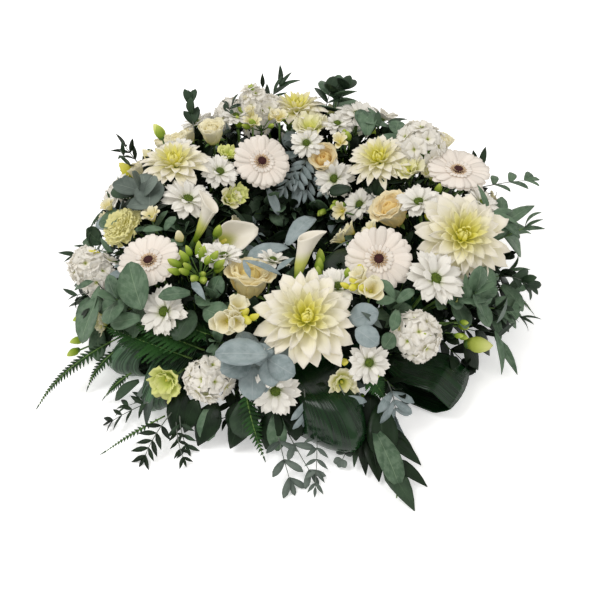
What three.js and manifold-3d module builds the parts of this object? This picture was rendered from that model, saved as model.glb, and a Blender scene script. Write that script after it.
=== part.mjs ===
// Funeral wreath of fresh flowers, lying on its back.
//
// A ring of wet floral foam sits in a shallow plastic tray. Every flower and every sprig of greenery is
// one cut stem, pushed into the foam and aimed at the foam's core circle, so the stems fan out round the
// ring's cross-section. Big leaves are folded into loops and pinned round the outer edge.
//
// Millimetres, +Z up. The origin is the centre of the ring, on the surface that the tray stands on.
// Clock angles go round the ring: 0 is right (+X), 90 is the back (+Y), 180 is left, 270 is the front.
// Lean is a stem's angle in the ring's cross-section: 0 points outwards, 90 straight up, 180 to the hole.
import * as THREE from "three";
import { mergeVertices } from "three/addons/utils/BufferGeometryUtils.js";
import Module from "manifold-3d";

const wasm = await Module();
wasm.setup();

// ---------------------------------------------------------------- driving dimensions

const FOAM_OUTER_RADIUS = 190;
const FOAM_INNER_RADIUS = 126;
const FOAM_TOP = 52;
const FOAM_SHOULDER = 34; // height where the foam's sides start to round over
const TRAY_WALL = 2.4;
const TRAY_RIM = 13;
const CORE_RADIUS = (FOAM_OUTER_RADIUS + FOAM_INNER_RADIUS) / 2;
const CORE_HEIGHT = 30;
const STEM_FOOT = 13; // how far from the core circle a cut stem stops
const GAP = 0.35; // clearance kept between neighbouring pieces
const FLOOR_GAP = 0.6; // trailing leaves end this far above the surface
const RING_SEGMENTS = 36;
const FLOWER_SEGMENTS = 8;
const BIG_FLOWER_SEGMENTS = 12;
const BIG_FLOWER_RADIUS = 30;

// ---------------------------------------------------------------- materials

function paint(colour, roughness) {
  return new THREE.MeshStandardMaterial({ color: colour, roughness, metalness: 0 });
}

const MATERIALS = {
  tray: paint(0x1d2420, 0.5),
  foam: paint(0x2f5a3a, 0.95),
  dahlia: paint(0xf3eec6, 0.7),
  gerbera: paint(0xf6efe6, 0.7),
  rose: paint(0xf3dcb0, 0.65),
  carnation: paint(0xe9e69a, 0.75),
  calla: paint(0xf4efe2, 0.5),
  stock: paint(0xf4f0ea, 0.75),
  chrysanthemum: paint(0xf7f5f4, 0.7),
  lisianthus: paint(0xe6edc4, 0.65),
  freesia: paint(0xf3efcf, 0.6),
  eucalyptus: paint(0x7c9692, 0.7),
  pistache: paint(0x5b6e62, 0.7),
  fern: paint(0x2f5a34, 0.6),
  aspidistra: paint(0x173320, 0.35),
};

// ---------------------------------------------------------------- places on the ring

const UP = new THREE.Vector3(0, 0, 1);
const degrees = (angle) => (angle * Math.PI) / 180;

function radial(clock) {
  return new THREE.Vector3(Math.cos(degrees(clock)), Math.sin(degrees(clock)), 0);
}

function tangent(clock) {
  return new THREE.Vector3(-Math.sin(degrees(clock)), Math.cos(degrees(clock)), 0);
}

function corePoint(clock) {
  return radial(clock).multiplyScalar(CORE_RADIUS).setZ(CORE_HEIGHT);
}

// The direction of a stem. Swing tips it sideways along the ring, towards larger clock angles.
function outward(clock, lean, swing = 0) {
  return radial(clock)
    .multiplyScalar(Math.cos(degrees(lean)))
    .addScaledVector(UP, Math.sin(degrees(lean)))
    .multiplyScalar(Math.cos(degrees(swing)))
    .addScaledVector(tangent(clock), Math.sin(degrees(swing)));
}

// The frame of a stem: its origin is on the core circle and its +Z runs out along the stem.
function stemFrame(clock, lean, swing = 0) {
  const along = outward(clock, lean, swing);
  const across = tangent(clock).addScaledVector(along, -tangent(clock).dot(along)).normalize();
  const third = new THREE.Vector3().crossVectors(along, across);
  return new THREE.Matrix4().makeBasis(across, third, along).setPosition(corePoint(clock));
}

// ---------------------------------------------------------------- solids

// A closed three.js geometry as a manifold solid.
function solidOf(geometry) {
  const bare = geometry.clone();
  bare.deleteAttribute("normal");
  bare.deleteAttribute("uv");
  const merged = mergeVertices(bare, 1e-4);
  return new wasm.Manifold(
    new wasm.Mesh({
      numProp: 3,
      vertProperties: merged.attributes.position.array,
      triVerts: new Uint32Array(merged.index.array),
    }),
  );
}

// A manifold solid as a three.js geometry.
function geometryOf(solid) {
  const { numProp, vertProperties, triVerts } = solid.getMesh();
  const geometry = new THREE.BufferGeometry();
  geometry.setAttribute("position", new THREE.BufferAttribute(vertProperties.slice(), numProp));
  geometry.setIndex(new THREE.BufferAttribute(triVerts.slice(), 1));
  return geometry;
}

function moved(solid, matrix) {
  return solid.transform(matrix.elements);
}

// A solid of revolution about +Z. The profile is a list of [radius, height] that starts and ends on the axis.
function turned(profile, segments = FLOWER_SEGMENTS) {
  const points = profile.map(([radius, height]) => new THREE.Vector2(radius, height));
  return solidOf(new THREE.LatheGeometry(points, segments).rotateX(Math.PI / 2));
}

// A round stem of constant radius along a curve.
function tube(curve, radius, steps) {
  const section = new THREE.Shape();
  section.absarc(0, 0, radius, 0, 2 * Math.PI, false);
  return solidOf(
    new THREE.ExtrudeGeometry(section, { steps, curveSegments: 3, extrudePath: curve }),
  );
}

// A leaf blade: a closed strip of lens-shaped sections. Each station has a centre, a vector to its right
// edge and a vector to its upper face. The blade closes to a point beyond its first and last stations.
function blade(stations, start, end) {
  const positions = [start.x, start.y, start.z];
  for (const { centre, side, face } of stations) {
    for (const corner of [
      centre.clone().sub(side),
      centre.clone().sub(face),
      centre.clone().add(side),
      centre.clone().add(face),
    ])
      positions.push(corner.x, corner.y, corner.z);
  }
  positions.push(end.x, end.y, end.z);
  const last = positions.length / 3 - 1;
  const index = [];
  for (let corner = 0; corner < 4; corner++) {
    const next = (corner + 1) % 4;
    index.push(0, 1 + next, 1 + corner);
    index.push(last, last - 4 + corner, last - 4 + next);
    for (let row = 0; row < stations.length - 1; row++) {
      const near = 1 + row * 4;
      const far = near + 4;
      index.push(near + corner, near + next, far + next, near + corner, far + next, far + corner);
    }
  }
  const geometry = new THREE.BufferGeometry();
  geometry.setAttribute("position", new THREE.Float32BufferAttribute(positions, 3));
  geometry.setIndex(index);
  const solid = solidOf(geometry);
  return solid.volume() < 0 ? solidOf(flipped(geometry)) : solid;
}

function flipped(geometry) {
  const turnedRound = geometry.clone();
  const index = Array.from(geometry.index.array);
  for (let i = 0; i < index.length; i += 3) [index[i], index[i + 1]] = [index[i + 1], index[i]];
  turnedRound.setIndex(index);
  return turnedRound;
}

// ---------------------------------------------------------------- flowers, each in its stem's frame

// Every profile takes the head's radius, the reach from the core circle to the middle of the face, and
// grow, which fattens the whole flower by a clearance when a neighbour is trimmed against it.

function stemProfile(stem, neck, grow) {
  return [
    [0, STEM_FOOT - grow],
    [stem + grow, STEM_FOOT - grow],
    [stem + grow, neck],
  ];
}

const FLOWERS = {
  // A wide shallow bowl of petals with a raised heart.
  dahlia: (radius, reach, grow) => [
    ...stemProfile(3.5, reach - 0.5 * radius, grow),
    [0.36 * radius + grow, reach - 0.4 * radius - grow],
    [radius + grow, reach - 0.14 * radius - grow],
    [radius + grow, reach - 0.05 * radius + grow],
    [0.5 * radius + grow, reach + 0.1 * radius + grow],
    [0, reach + 0.2 * radius + grow],
  ],
  // A thin flat daisy with a domed disc.
  gerbera: (radius, reach, grow) => [
    ...stemProfile(2.6, reach - 9, grow),
    [7 + grow, reach - 6 - grow],
    [radius + grow, reach - 1.5 - grow],
    [radius + grow, reach + 1.2 + grow],
    [7 + grow, reach + 1.2 + grow],
    [0, reach + 3 + grow],
  ],
  // An upright egg of rolled petals.
  rose: (radius, reach, grow) => [
    ...stemProfile(2.8, reach - 1.75 * radius, grow),
    [0.62 * radius + grow, reach - 1.45 * radius - grow],
    [0.98 * radius + grow, reach - 0.7 * radius],
    [radius + grow, reach - 0.2 * radius + grow],
    [0.6 * radius + grow, reach + grow],
    [0, reach + grow],
  ],
  // A narrow calyx that opens into a frilled dome.
  carnation: (radius, reach, grow) => [
    ...stemProfile(2.4, reach - 1.5 * radius, grow),
    [0.34 * radius + grow, reach - 1.3 * radius],
    [0.36 * radius + grow, reach - 0.6 * radius - grow],
    [radius + grow, reach - 0.25 * radius],
    [0.8 * radius + grow, reach + 0.1 * radius + grow],
    [0, reach + 0.2 * radius + grow],
  ],
  // A single rolled spathe, open at the mouth.
  calla: (radius, reach, grow) => [
    ...stemProfile(4, reach - 3.6 * radius, grow),
    [0.4 * radius + grow, reach - 2.6 * radius],
    [0.55 * radius + grow, reach - 1 * radius],
    [radius + grow, reach - grow],
    [radius + grow, reach + 1.5 + grow],
    [0.45 * radius + grow, reach - 0.8 * radius + 3 + grow],
    [0, reach - 1.1 * radius + 3 + grow],
  ],
  // A blunt spike of close florets.
  stock: (radius, reach, grow) => [
    ...stemProfile(3.2, reach - 1.7 * radius, grow),
    [0.7 * radius + grow, reach - 1.6 * radius - grow],
    [radius + grow, reach - 1.0 * radius],
    [radius + grow, reach - 0.3 * radius],
    [0.6 * radius + grow, reach + 0.1 * radius + grow],
    [0, reach + 0.2 * radius + grow],
  ],
  // A small daisy on a thin stem.
  chrysanthemum: (radius, reach, grow) => [
    ...stemProfile(1.8, reach - 8, grow),
    [5 + grow, reach - 6 - grow],
    [radius + grow, reach - 1.2 - grow],
    [radius + grow, reach + 1 + grow],
    [0, reach + 3.5 + grow],
  ],
  // A soft open bell.
  lisianthus: (radius, reach, grow) => [
    ...stemProfile(1.8, reach - 1.9 * radius, grow),
    [0.5 * radius + grow, reach - 1.6 * radius - grow],
    [0.75 * radius + grow, reach - 0.7 * radius],
    [radius + grow, reach - 0.1 * radius - grow],
    [radius + grow, reach + grow],
    [0, reach + grow],
  ],
};

// [name, kind, clock, lean, reach to the face, head radius, swing]. The big heads come first, because a
// piece further down the list is trimmed clear of the ones above it.
const CUT_FLOWERS = [
  ["dahlia_front", "dahlia", 272, 69, 115, 53],
  ["dahlia_right", "dahlia", 338, 70, 120, 56],
  ["dahlia_back_right", "dahlia", 38, 108, 114, 38],
  ["dahlia_back_left", "dahlia", 158, 86, 114, 41],
  ["dahlia_back", "dahlia", 91, 76, 112, 39],
  ["gerbera_back", "gerbera", 119, 122, 112, 34],
  ["gerbera_left", "gerbera", 212, 68, 112, 34],
  ["gerbera_front_right", "gerbera", 308, 98, 113, 36],
  ["gerbera_right", "gerbera", 15, 69, 116, 37],
  ["rose_right", "rose", 0, 119, 112, 25],
  ["rose_back", "rose", 74, 120, 108, 20],
  ["rose_front", "rose", 245, 105, 106, 27],
  ["rose_back_left_high", "rose", 131, 84, 120, 18],
  ["rose_back_left_low", "rose", 141, 66, 112, 16],
  ["carnation_left", "carnation", 185, 55, 108, 24],
  ["calla_left", "calla", 189, 115, 138, 15],
  ["calla_middle", "calla", 214, 126, 118, 19],
  ["calla_front", "calla", 259, 119, 154, 15, 10],
  ["stock_front_left", "stock", 246, 24, 108, 26],
  ["stock_front_right", "stock", 304, 44, 110, 28],
  ["stock_back_right", "stock", 34, 76, 130, 31],
  ["stock_left", "stock", 196, 26, 112, 27],
  ["stock_back_left", "stock", 109, 77, 140, 21],
  ["chrysanthemum_front", "chrysanthemum", 264, 27, 104, 25],
  ["chrysanthemum_front_right", "chrysanthemum", 288, 40, 106, 21],
  ["chrysanthemum_right", "chrysanthemum", 317, 67, 112, 27],
  ["chrysanthemum_middle", "chrysanthemum", 286, 92, 108, 23],
  ["chrysanthemum_left", "chrysanthemum", 228, 52, 106, 26],
  ["chrysanthemum_inner_left", "chrysanthemum", 226, 103, 108, 22],
  ["chrysanthemum_left_high", "chrysanthemum", 178, 103, 106, 28],
  ["chrysanthemum_back_inner", "chrysanthemum", 148, 113, 108, 22],
  ["chrysanthemum_inner_right", "chrysanthemum", 60, 134, 101, 20],
  ["chrysanthemum_back_high", "chrysanthemum", 86, 113, 112, 20],
  ["chrysanthemum_back_right", "chrysanthemum", 66, 76, 112, 27],
  ["chrysanthemum_far_right", "chrysanthemum", 357, 97, 109, 21],
  ["lisianthus_back", "lisianthus", 84, 97, 117, 18],
  ["lisianthus_back_right", "lisianthus", 23, 97, 115, 16],
  ["lisianthus_front", "lisianthus", 281, 28, 98, 14],
];

function flowerSolid(kind, radius, reach, grow) {
  const segments = radius > BIG_FLOWER_RADIUS ? BIG_FLOWER_SEGMENTS : FLOWER_SEGMENTS;
  return turned(FLOWERS[kind](radius, reach, grow), segments);
}

// ---------------------------------------------------------------- freesia sprays

// An arching stem with a row of upright buds that get smaller towards the tip.
// [name, clock, lean, reach, bud count, how far the spray arches sideways]
const FREESIAS = [
  ["freesia_left", 224, 84, 116, 5, 34],
  ["freesia_front", 249, 64, 112, 4, 34],
  ["freesia_front_right", 296, 82, 112, 4, -30],
  ["freesia_back", 108, 95, 118, 5, -34],
];

function freesiaSolid(reach, buds, arch, grow) {
  const neck = reach - 16;
  const stem = new THREE.CubicBezierCurve3(
    new THREE.Vector3(0, 0, STEM_FOOT),
    new THREE.Vector3(0, 0, 0.6 * neck),
    new THREE.Vector3(0.1 * arch, 0, neck),
    new THREE.Vector3(arch, 0, reach - 4),
  );
  let spray = tube(stem, 1.6 + grow, 6);
  for (let bud = 0; bud < buds; bud++) {
    const share = bud / (buds - 1);
    const foot = stem.getPoint(0.78 + 0.2 * share);
    const length = 26 - 13 * share;
    const radius = 5.4 - 2.2 * share;
    const shape = turned(
      [
        [0, -2 - grow],
        [radius + grow, 0.4 * length],
        [0.8 * radius + grow, 0.85 * length],
        [0, length + grow],
      ],
      5,
    );
    const tilt = new THREE.Matrix4().makeRotationY(degrees(Math.sign(arch) * 34 * share));
    spray = spray.add(moved(shape, tilt.setPosition(foot)));
  }
  return spray;
}

// ---------------------------------------------------------------- greenery

// Where a sprig runs: out of the foam at a clock and lean, for a length, while its tip falls by droop
// and swings round the ring by sweep.
function sprigCurve({ clock, lean, length, droop = 0, sweep = 0 }) {
  const along = outward(clock, lean);
  const core = corePoint(clock);
  const foot = core.clone().addScaledVector(along, STEM_FOOT);
  const bend = core.clone().addScaledVector(along, 0.55 * length);
  const tip = core
    .clone()
    .addScaledVector(along, length)
    .addScaledVector(tangent(clock), sweep)
    .addScaledVector(UP, -droop);
  return new THREE.QuadraticBezierCurve3(foot, bend, tip);
}

// The two directions across a sprig: side lies along the ring, and face looks away from the foam.
function across(curve, share, clock) {
  const along = curve.getTangent(share);
  const side = new THREE.Vector3().crossVectors(along, UP);
  if (side.length() < 0.3) side.copy(tangent(clock)).negate();
  side.addScaledVector(along, -side.dot(along)).normalize();
  const face = new THREE.Vector3().crossVectors(side, along).normalize();
  return { along, side, face };
}

// One leaf, from its stalk end towards a direction, half as wide as it says on each side.
function leaf(foot, direction, side, face, length, halfWidth, grow) {
  const stations = [0.32, 0.72].map((share) => ({
    centre: foot.clone().addScaledVector(direction, share * length),
    side: side.clone().multiplyScalar(halfWidth + grow),
    face: face.clone().multiplyScalar(0.7 + grow),
  }));
  return blade(
    stations,
    foot.clone().addScaledVector(direction, -2 - grow),
    foot.clone().addScaledVector(direction, length + grow),
  );
}

// A woody sprig with pairs of leaves. Splay is the angle of a leaf to the stem. On a crossed sprig every
// pair stands at a right angle to the last, and the blades face the sprig's tip. Otherwise all lie flat.
function sprigSolid(plan, grow) {
  const curve = sprigCurve(plan);
  let sprig = tube(curve, 1.7 + grow, 4);
  for (let pair = 0; pair < plan.pairs; pair++) {
    const share = plan.bare + ((1 - plan.bare) * (pair + 0.5)) / plan.pairs;
    const { along, side, face } = across(curve, share, plan.clock);
    const foot = curve.getPoint(share);
    const spread = plan.crossed && pair % 2 ? face : side;
    for (const hand of [-1, 1]) {
      const direction = along
        .clone()
        .multiplyScalar(Math.cos(degrees(plan.splay)))
        .addScaledVector(spread, hand * Math.sin(degrees(plan.splay)));
      const width = new THREE.Vector3()
        .crossVectors(direction, plan.crossed ? along : face)
        .normalize();
      const thickness = new THREE.Vector3().crossVectors(width, direction);
      sprig = sprig.add(
        leaf(foot, direction, width, thickness, plan.leaf, plan.halfWidth, grow),
      );
    }
  }
  return sprig;
}

// A fern frond: one flat toothed blade that tapers to its tip, on a bare stalk.
function frondSolid(plan, grow) {
  const curve = sprigCurve(plan);
  const stalk = new THREE.CatmullRomCurve3([0, 0.17, 0.34].map((share) => curve.getPoint(share)));
  const rows = 2 * plan.teeth;
  const stations = [];
  for (let row = 0; row < rows; row++) {
    const share = 0.3 + (0.68 * row) / (rows - 1);
    const { side, face } = across(curve, share, plan.clock);
    const tooth = row % 2 ? 1 : 0.62;
    const width = plan.halfWidth * tooth * Math.min(1, 1.5 * (1.04 - share));
    stations.push({
      centre: curve.getPoint(share),
      side: side.multiplyScalar(width + grow),
      face: face.multiplyScalar(0.8 + grow),
    });
  }
  const tip = curve.getPoint(1).addScaledVector(curve.getTangent(1), grow);
  const base = curve.getPoint(0.27).addScaledVector(curve.getTangent(0.27), -grow);
  return tube(stalk, 1.5 + grow, 3).add(blade(stations, base, tip));
}

// A broad leaf folded back on itself, with both ends pinned in the foam. Yaw turns it off the ring's spoke.
function loopSolid(plan, grow) {
  const { clock, yaw, low, high, out, halfWidth } = plan;
  const edge = radial(clock).multiplyScalar(FOAM_OUTER_RADIUS);
  const at = (beyond, height) => edge.clone().addScaledVector(radial(clock + yaw), beyond).setZ(height);
  const route = new THREE.CatmullRomCurve3([
    at(-14, 26),
    at(0.35 * out, low),
    at(0.8 * out, low),
    at(out, 0.5 * (low + high)),
    at(0.72 * out, high),
    at(0.25 * out, high - 4),
    at(-8, 44),
  ]);
  const count = 16;
  const stations = [];
  for (let row = 0; row < count; row++) {
    const share = row / (count - 1);
    const fullness = 0.3 + 0.7 * Math.sin(Math.PI * Math.min(1, share * 1.05)) ** 0.7;
    const side = tangent(clock + yaw);
    const face = new THREE.Vector3().crossVectors(route.getTangent(share), side).normalize();
    stations.push({
      centre: route.getPoint(share),
      side: side.multiplyScalar(fullness * halfWidth + grow),
      face: face.multiplyScalar(0.7 + grow),
    });
  }
  const start = route.getPoint(0).addScaledVector(route.getTangent(0), -3 - grow);
  const end = route.getPoint(1).addScaledVector(route.getTangent(1), 3 + grow);
  return blade(stations, start, end);
}

const EUCALYPTUS = { pairs: 2, bare: 0.7, leaf: 36, halfWidth: 17, splay: 72, crossed: true };
const NARROW = { pairs: 3, bare: 0.5, leaf: 46, halfWidth: 8, splay: 34 };
const SMALL_LEAF = { pairs: 5, bare: 0.4, leaf: 22, halfWidth: 5, splay: 55 };

const SPRIGS = [
  { ...EUCALYPTUS, name: "eucalyptus_front", clock: 257, lean: 50, length: 118 },
  { ...EUCALYPTUS, name: "eucalyptus_left", clock: 214, lean: 40, length: 118 },
  { ...EUCALYPTUS, name: "eucalyptus_left_high", clock: 177, lean: 74, length: 116 },
  { ...EUCALYPTUS, name: "eucalyptus_right", clock: 325, lean: 46, length: 118 },
  { ...EUCALYPTUS, name: "eucalyptus_back", clock: 77, lean: 62, length: 122 },
  { ...NARROW, name: "eucalyptus_far_right", clock: 354, lean: 38, length: 138 },
  { ...NARROW, name: "eucalyptus_trailing_front", clock: 296, lean: -4, length: 190, sweep: -56, droop: 10 },
  { ...NARROW, name: "eucalyptus_trailing_back", clock: 97, lean: -4, length: 175, droop: 8 },
  { ...SMALL_LEAF, name: "pistache_front", clock: 275, lean: 0, length: 166, sweep: -12, droop: 22 },
];

const FRONDS = [
  { name: "fern_left", clock: 228, lean: 24, length: 140, droop: 20, halfWidth: 34, teeth: 8 },
  { name: "fern_trailing_left", clock: 214, lean: 6, length: 196, droop: 44, halfWidth: 16, teeth: 9 },
];

const LOOPS = [
  { name: "aspidistra_loop_front", clock: 268, yaw: 32, low: 3, high: 66, out: 112, halfWidth: 36 },
  { name: "aspidistra_loop_front_left", clock: 230, yaw: 20, low: 4, high: 50, out: 94, halfWidth: 21 },
  { name: "aspidistra_loop_left", clock: 221, yaw: -16, low: 6, high: 52, out: 80, halfWidth: 21 },
  { name: "aspidistra_loop_right", clock: 302, yaw: 33, low: 5, high: 42, out: 90, halfWidth: 32 },
  { name: "aspidistra_loop_back", clock: 60, yaw: 0, low: 6, high: 60, out: 66, halfWidth: 36 },
];

// ---------------------------------------------------------------- tray and foam

function traySolid(grow) {
  const outer = FOAM_OUTER_RADIUS + TRAY_WALL + 0.6;
  const inner = FOAM_INNER_RADIUS - TRAY_WALL - 0.6;
  const profile = [
    [inner - grow, 0],
    [outer + grow, 0],
    [outer + grow, TRAY_RIM + grow],
    [outer - TRAY_WALL - grow, TRAY_RIM + grow],
    [outer - TRAY_WALL - grow, TRAY_WALL + grow],
    [inner + TRAY_WALL + grow, TRAY_WALL + grow],
    [inner + TRAY_WALL + grow, TRAY_RIM + grow],
    [inner - grow, TRAY_RIM + grow],
    [inner - grow, 0],
  ];
  return turned(profile, RING_SEGMENTS);
}

function foamSolid() {
  const floor = TRAY_WALL + GAP;
  const profile = [
    [FOAM_INNER_RADIUS, floor],
    [FOAM_OUTER_RADIUS, floor],
    [FOAM_OUTER_RADIUS, FOAM_SHOULDER],
    [FOAM_OUTER_RADIUS - 14, FOAM_TOP],
    [FOAM_INNER_RADIUS + 14, FOAM_TOP],
    [FOAM_INNER_RADIUS, FOAM_SHOULDER],
    [FOAM_INNER_RADIUS, floor],
  ];
  return turned(profile, RING_SEGMENTS);
}

// ---------------------------------------------------------------- assembly

// Every piece as {name, material, frame, shape(grow)}, in the order in which room is given out.
const pieces = [
  ...CUT_FLOWERS.map(([name, kind, clock, lean, reach, radius, swing]) => ({
    name,
    material: kind,
    frame: stemFrame(clock, lean, swing),
    shape: (grow) => moved(flowerSolid(kind, radius, reach, grow), stemFrame(clock, lean, swing)),
  })),
  ...FREESIAS.map(([name, clock, lean, reach, buds, arch]) => ({
    name,
    material: "freesia",
    frame: stemFrame(clock, lean),
    shape: (grow) => moved(freesiaSolid(reach, buds, arch, grow), stemFrame(clock, lean)),
  })),
  ...SPRIGS.map((plan) => ({
    name: plan.name,
    material: plan.name.split("_")[0],
    frame: stemFrame(plan.clock, plan.lean),
    shape: (grow) => sprigSolid(plan, grow),
  })),
  ...LOOPS.map((plan) => ({
    name: plan.name,
    material: "aspidistra",
    frame: stemFrame(plan.clock, 0),
    shape: (grow) => loopSolid(plan, grow),
  })),
  ...FRONDS.map((plan) => ({
    name: plan.name,
    material: "fern",
    frame: stemFrame(plan.clock, plan.lean),
    shape: (grow) => frondSolid(plan, grow),
  })),
];

function boxesMeet(a, b) {
  return [0, 1, 2].every((k) => a.min[k] <= b.max[k] && b.min[k] <= a.max[k]);
}

function largest(solid) {
  const bodies = solid.decompose();
  return bodies.reduce((best, body) => (body.volume() > best.volume() ? body : best));
}

// What lies below the surface that the wreath stands on is cut away from the trailing leaves.
function aboveTheFloor(solid) {
  return solid.trimByPlane([0, 0, 1], FLOOR_GAP);
}

const wreath = new THREE.Group();

function place(name, material, solid, frame) {
  const local = moved(solid, frame.clone().invert());
  const mesh = new THREE.Mesh(geometryOf(local), MATERIALS[material]);
  mesh.name = name;
  frame.decompose(mesh.position, mesh.quaternion, mesh.scale);
  wreath.add(mesh);
}

const upright = new THREE.Matrix4();
const tray = traySolid(0);
const trayRoom = traySolid(GAP);
const clearances = [];
for (const piece of pieces) {
  let solid = piece.shape(0);
  for (const taken of [trayRoom, ...clearances]) {
    if (boxesMeet(solid.boundingBox(), taken.boundingBox())) solid = solid.subtract(taken);
  }
  const kept = largest(aboveTheFloor(solid));
  const share = kept.volume() / piece.shape(0).volume();
  if (share < 0.97) console.log(piece.name, "keeps", share.toFixed(2));
  clearances.push(piece.shape(GAP));
  place(piece.name, piece.material, kept, piece.frame);
}

let foam = foamSolid();
for (const taken of clearances) {
  if (boxesMeet(foam.boundingBox(), taken.boundingBox())) foam = foam.subtract(taken);
}
place("floral_foam_ring", "foam", largest(foam), upright);
place("ring_tray", "tray", tray, upright);

export default wreath;
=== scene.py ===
# %% [markdown]
# # A funeral wreath of fresh flowers
# A florist's wreath starts as a ring of wet floral foam in a shallow tray. Every stem is cut to length and
# pushed into the foam, so the stems fan out round the ring like spokes, and the heads close up into a
# cushion. The CAD model gives each stem's place. Here each one is dressed with real petals and leaves.
# Work is in metres, with +Z up and the origin at the middle of the ring on the table.

# %% Load the frame
import math
import random

import bpy
import numpy as np
from mathutils import Matrix, Vector


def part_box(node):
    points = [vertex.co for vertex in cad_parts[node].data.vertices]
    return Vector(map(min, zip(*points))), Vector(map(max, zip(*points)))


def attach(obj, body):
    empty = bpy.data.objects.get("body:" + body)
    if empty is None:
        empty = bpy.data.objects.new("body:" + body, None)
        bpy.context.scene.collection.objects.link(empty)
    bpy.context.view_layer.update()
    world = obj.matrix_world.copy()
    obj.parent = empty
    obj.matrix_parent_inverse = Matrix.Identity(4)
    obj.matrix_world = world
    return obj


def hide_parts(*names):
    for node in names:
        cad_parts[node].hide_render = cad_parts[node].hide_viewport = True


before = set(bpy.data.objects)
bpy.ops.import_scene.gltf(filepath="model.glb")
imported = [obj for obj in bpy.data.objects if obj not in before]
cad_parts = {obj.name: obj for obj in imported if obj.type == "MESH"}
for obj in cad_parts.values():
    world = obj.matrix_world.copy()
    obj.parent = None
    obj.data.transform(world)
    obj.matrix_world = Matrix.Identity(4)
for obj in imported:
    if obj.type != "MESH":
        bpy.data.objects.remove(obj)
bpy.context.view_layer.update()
bpy.ops.object.select_all(action="DESELECT")
MM = 0.001
UP = Vector((0, 0, 1))
print("CAD nodes:", len(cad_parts))

# %% [markdown]
# ## The camera comes first
# The wreath lies flat and is seen from the front at about forty-five degrees, from a little over a metre
# away. A long lens keeps the ring from looking stretched.

# %% Camera
AIM = Vector((0, 0, 0.060))
AIM_ELEVATION = math.radians(42)
CAMERA_DISTANCE = 1.40
LOOK_DOWN = math.radians(44.7)
LENS = 68.0

camera_data = bpy.data.cameras.new("camera")
camera_data.lens = LENS
camera = bpy.data.objects.new("camera", camera_data)
towards_camera = Vector((0, -math.cos(AIM_ELEVATION), math.sin(AIM_ELEVATION)))
camera.location = AIM + CAMERA_DISTANCE * towards_camera
camera.rotation_euler = (math.pi / 2 - LOOK_DOWN, 0, 0)
bpy.context.collection.objects.link(camera)
bpy.context.scene.camera = camera
print("camera at", [round(c, 3) for c in camera.location])

# %% [markdown]
# ## Light and floor
# Fresh flowers look best in soft, bright light from above, so that white petals stay white and the gaps
# between the leaves fall dark. Three big area lamps and a pale sky give that, and a plain pale surface
# lies under the tray. Plain display colours keep the whites clean.

# %% Lights, sky and floor
bpy.context.scene.view_settings.view_transform = "Standard"


def add_area_lamp(name, place, size, watts):
    lamp = bpy.data.lights.new(name, "AREA")
    lamp.shape = "DISK"
    lamp.size = size
    lamp.energy = watts
    holder = bpy.data.objects.new(name, lamp)
    holder.location = place
    holder.rotation_euler = (AIM - Vector(place)).to_track_quat("-Z", "Y").to_euler()
    bpy.context.collection.objects.link(holder)


add_area_lamp("key_lamp", (-1.1, -0.4, 1.9), size=1.1, watts=20)
add_area_lamp("fill_lamp", (1.4, -0.9, 1.5), size=2.2, watts=10)
add_area_lamp("back_lamp", (0.3, 1.7, 1.5), size=2.0, watts=9)

SKY_COLOUR = (1.0, 0.98, 0.95, 1)
SKY_STRENGTH = 0.62
sky = bpy.data.worlds.new("sky")
sky.use_nodes = True
background = sky.node_tree.nodes["Background"]
background.inputs["Color"].default_value = SKY_COLOUR
background.inputs["Strength"].default_value = SKY_STRENGTH
bpy.context.scene.world = sky

FLOOR_COLOUR = (0.93, 0.93, 0.93, 1)
FLOOR_GLOW = 0.4
bpy.ops.mesh.primitive_plane_add(size=9, location=(0, 0, -0.5 * MM))
floor = bpy.context.object
floor.name = "floor"
floor_paint = bpy.data.materials.new("floor_paint")
floor_paint.use_nodes = True
floor_shader = floor_paint.node_tree.nodes["Principled BSDF"]
floor_shader.inputs["Base Color"].default_value = FLOOR_COLOUR
floor_shader.inputs["Emission Color"].default_value = (1, 1, 1, 1)
floor_shader.inputs["Emission Strength"].default_value = FLOOR_GLOW
floor_shader.inputs["Roughness"].default_value = 0.8
floor.data.materials.append(floor_paint)
print("lamps, sky and floor ready")

# %% [markdown]
# ## A shape is modelled once and copied
# A wreath has thousands of petals and leaves, but only a few dozen different ones. Each is modelled once
# as a thin closed sheet, lifted out of the scene as a `Shape`, and copied into place. A `Bunch` collects
# the copies that make one piece. Every copy carries its own UV map (across and along the petal), a random
# `tone`, and `ring`, which says how far out in the flower it stands. The materials read all three.

# %% Shapes and bunches


class Shape:
    """A modelled mesh as plain arrays, ready to be copied."""

    def __init__(self, item):
        mesh = item.data
        self.points = np.empty(3 * len(mesh.vertices))
        mesh.vertices.foreach_get("co", self.points)
        self.points = self.points.reshape(-1, 3)
        self.corners = np.empty(len(mesh.loops), dtype=np.int32)
        mesh.loops.foreach_get("vertex_index", self.corners)
        self.sizes = np.empty(len(mesh.polygons), dtype=np.int32)
        mesh.polygons.foreach_get("loop_total", self.sizes)
        self.uv = np.empty(2 * len(mesh.loops))
        mesh.uv_layers[0].data.foreach_get("uv", self.uv)
        bpy.data.objects.remove(item)
        bpy.data.meshes.remove(mesh)


class Bunch:
    """The copies that make up one piece."""

    def __init__(self):
        self.copies = []

    def add(self, shape, place, finish, tone=0.5, ring=0.5):
        self.copies.append((shape, place, finish, tone, ring))

    def triangles(self):
        return sum(int((shape.sizes - 2).sum()) for shape, *_ in self.copies)


def spread(values, counts):
    """Repeats each copy's value over all its points or faces."""
    return np.repeat(np.array(values), counts)


def rest_on_floor(points, band=0.003):
    """Anything lower than the band is pressed softly on to the floor, and never below it."""
    low = points[:, 2] < band
    points[low, 2] = band * np.exp(points[low, 2] / band - 1)
    return points


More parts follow.
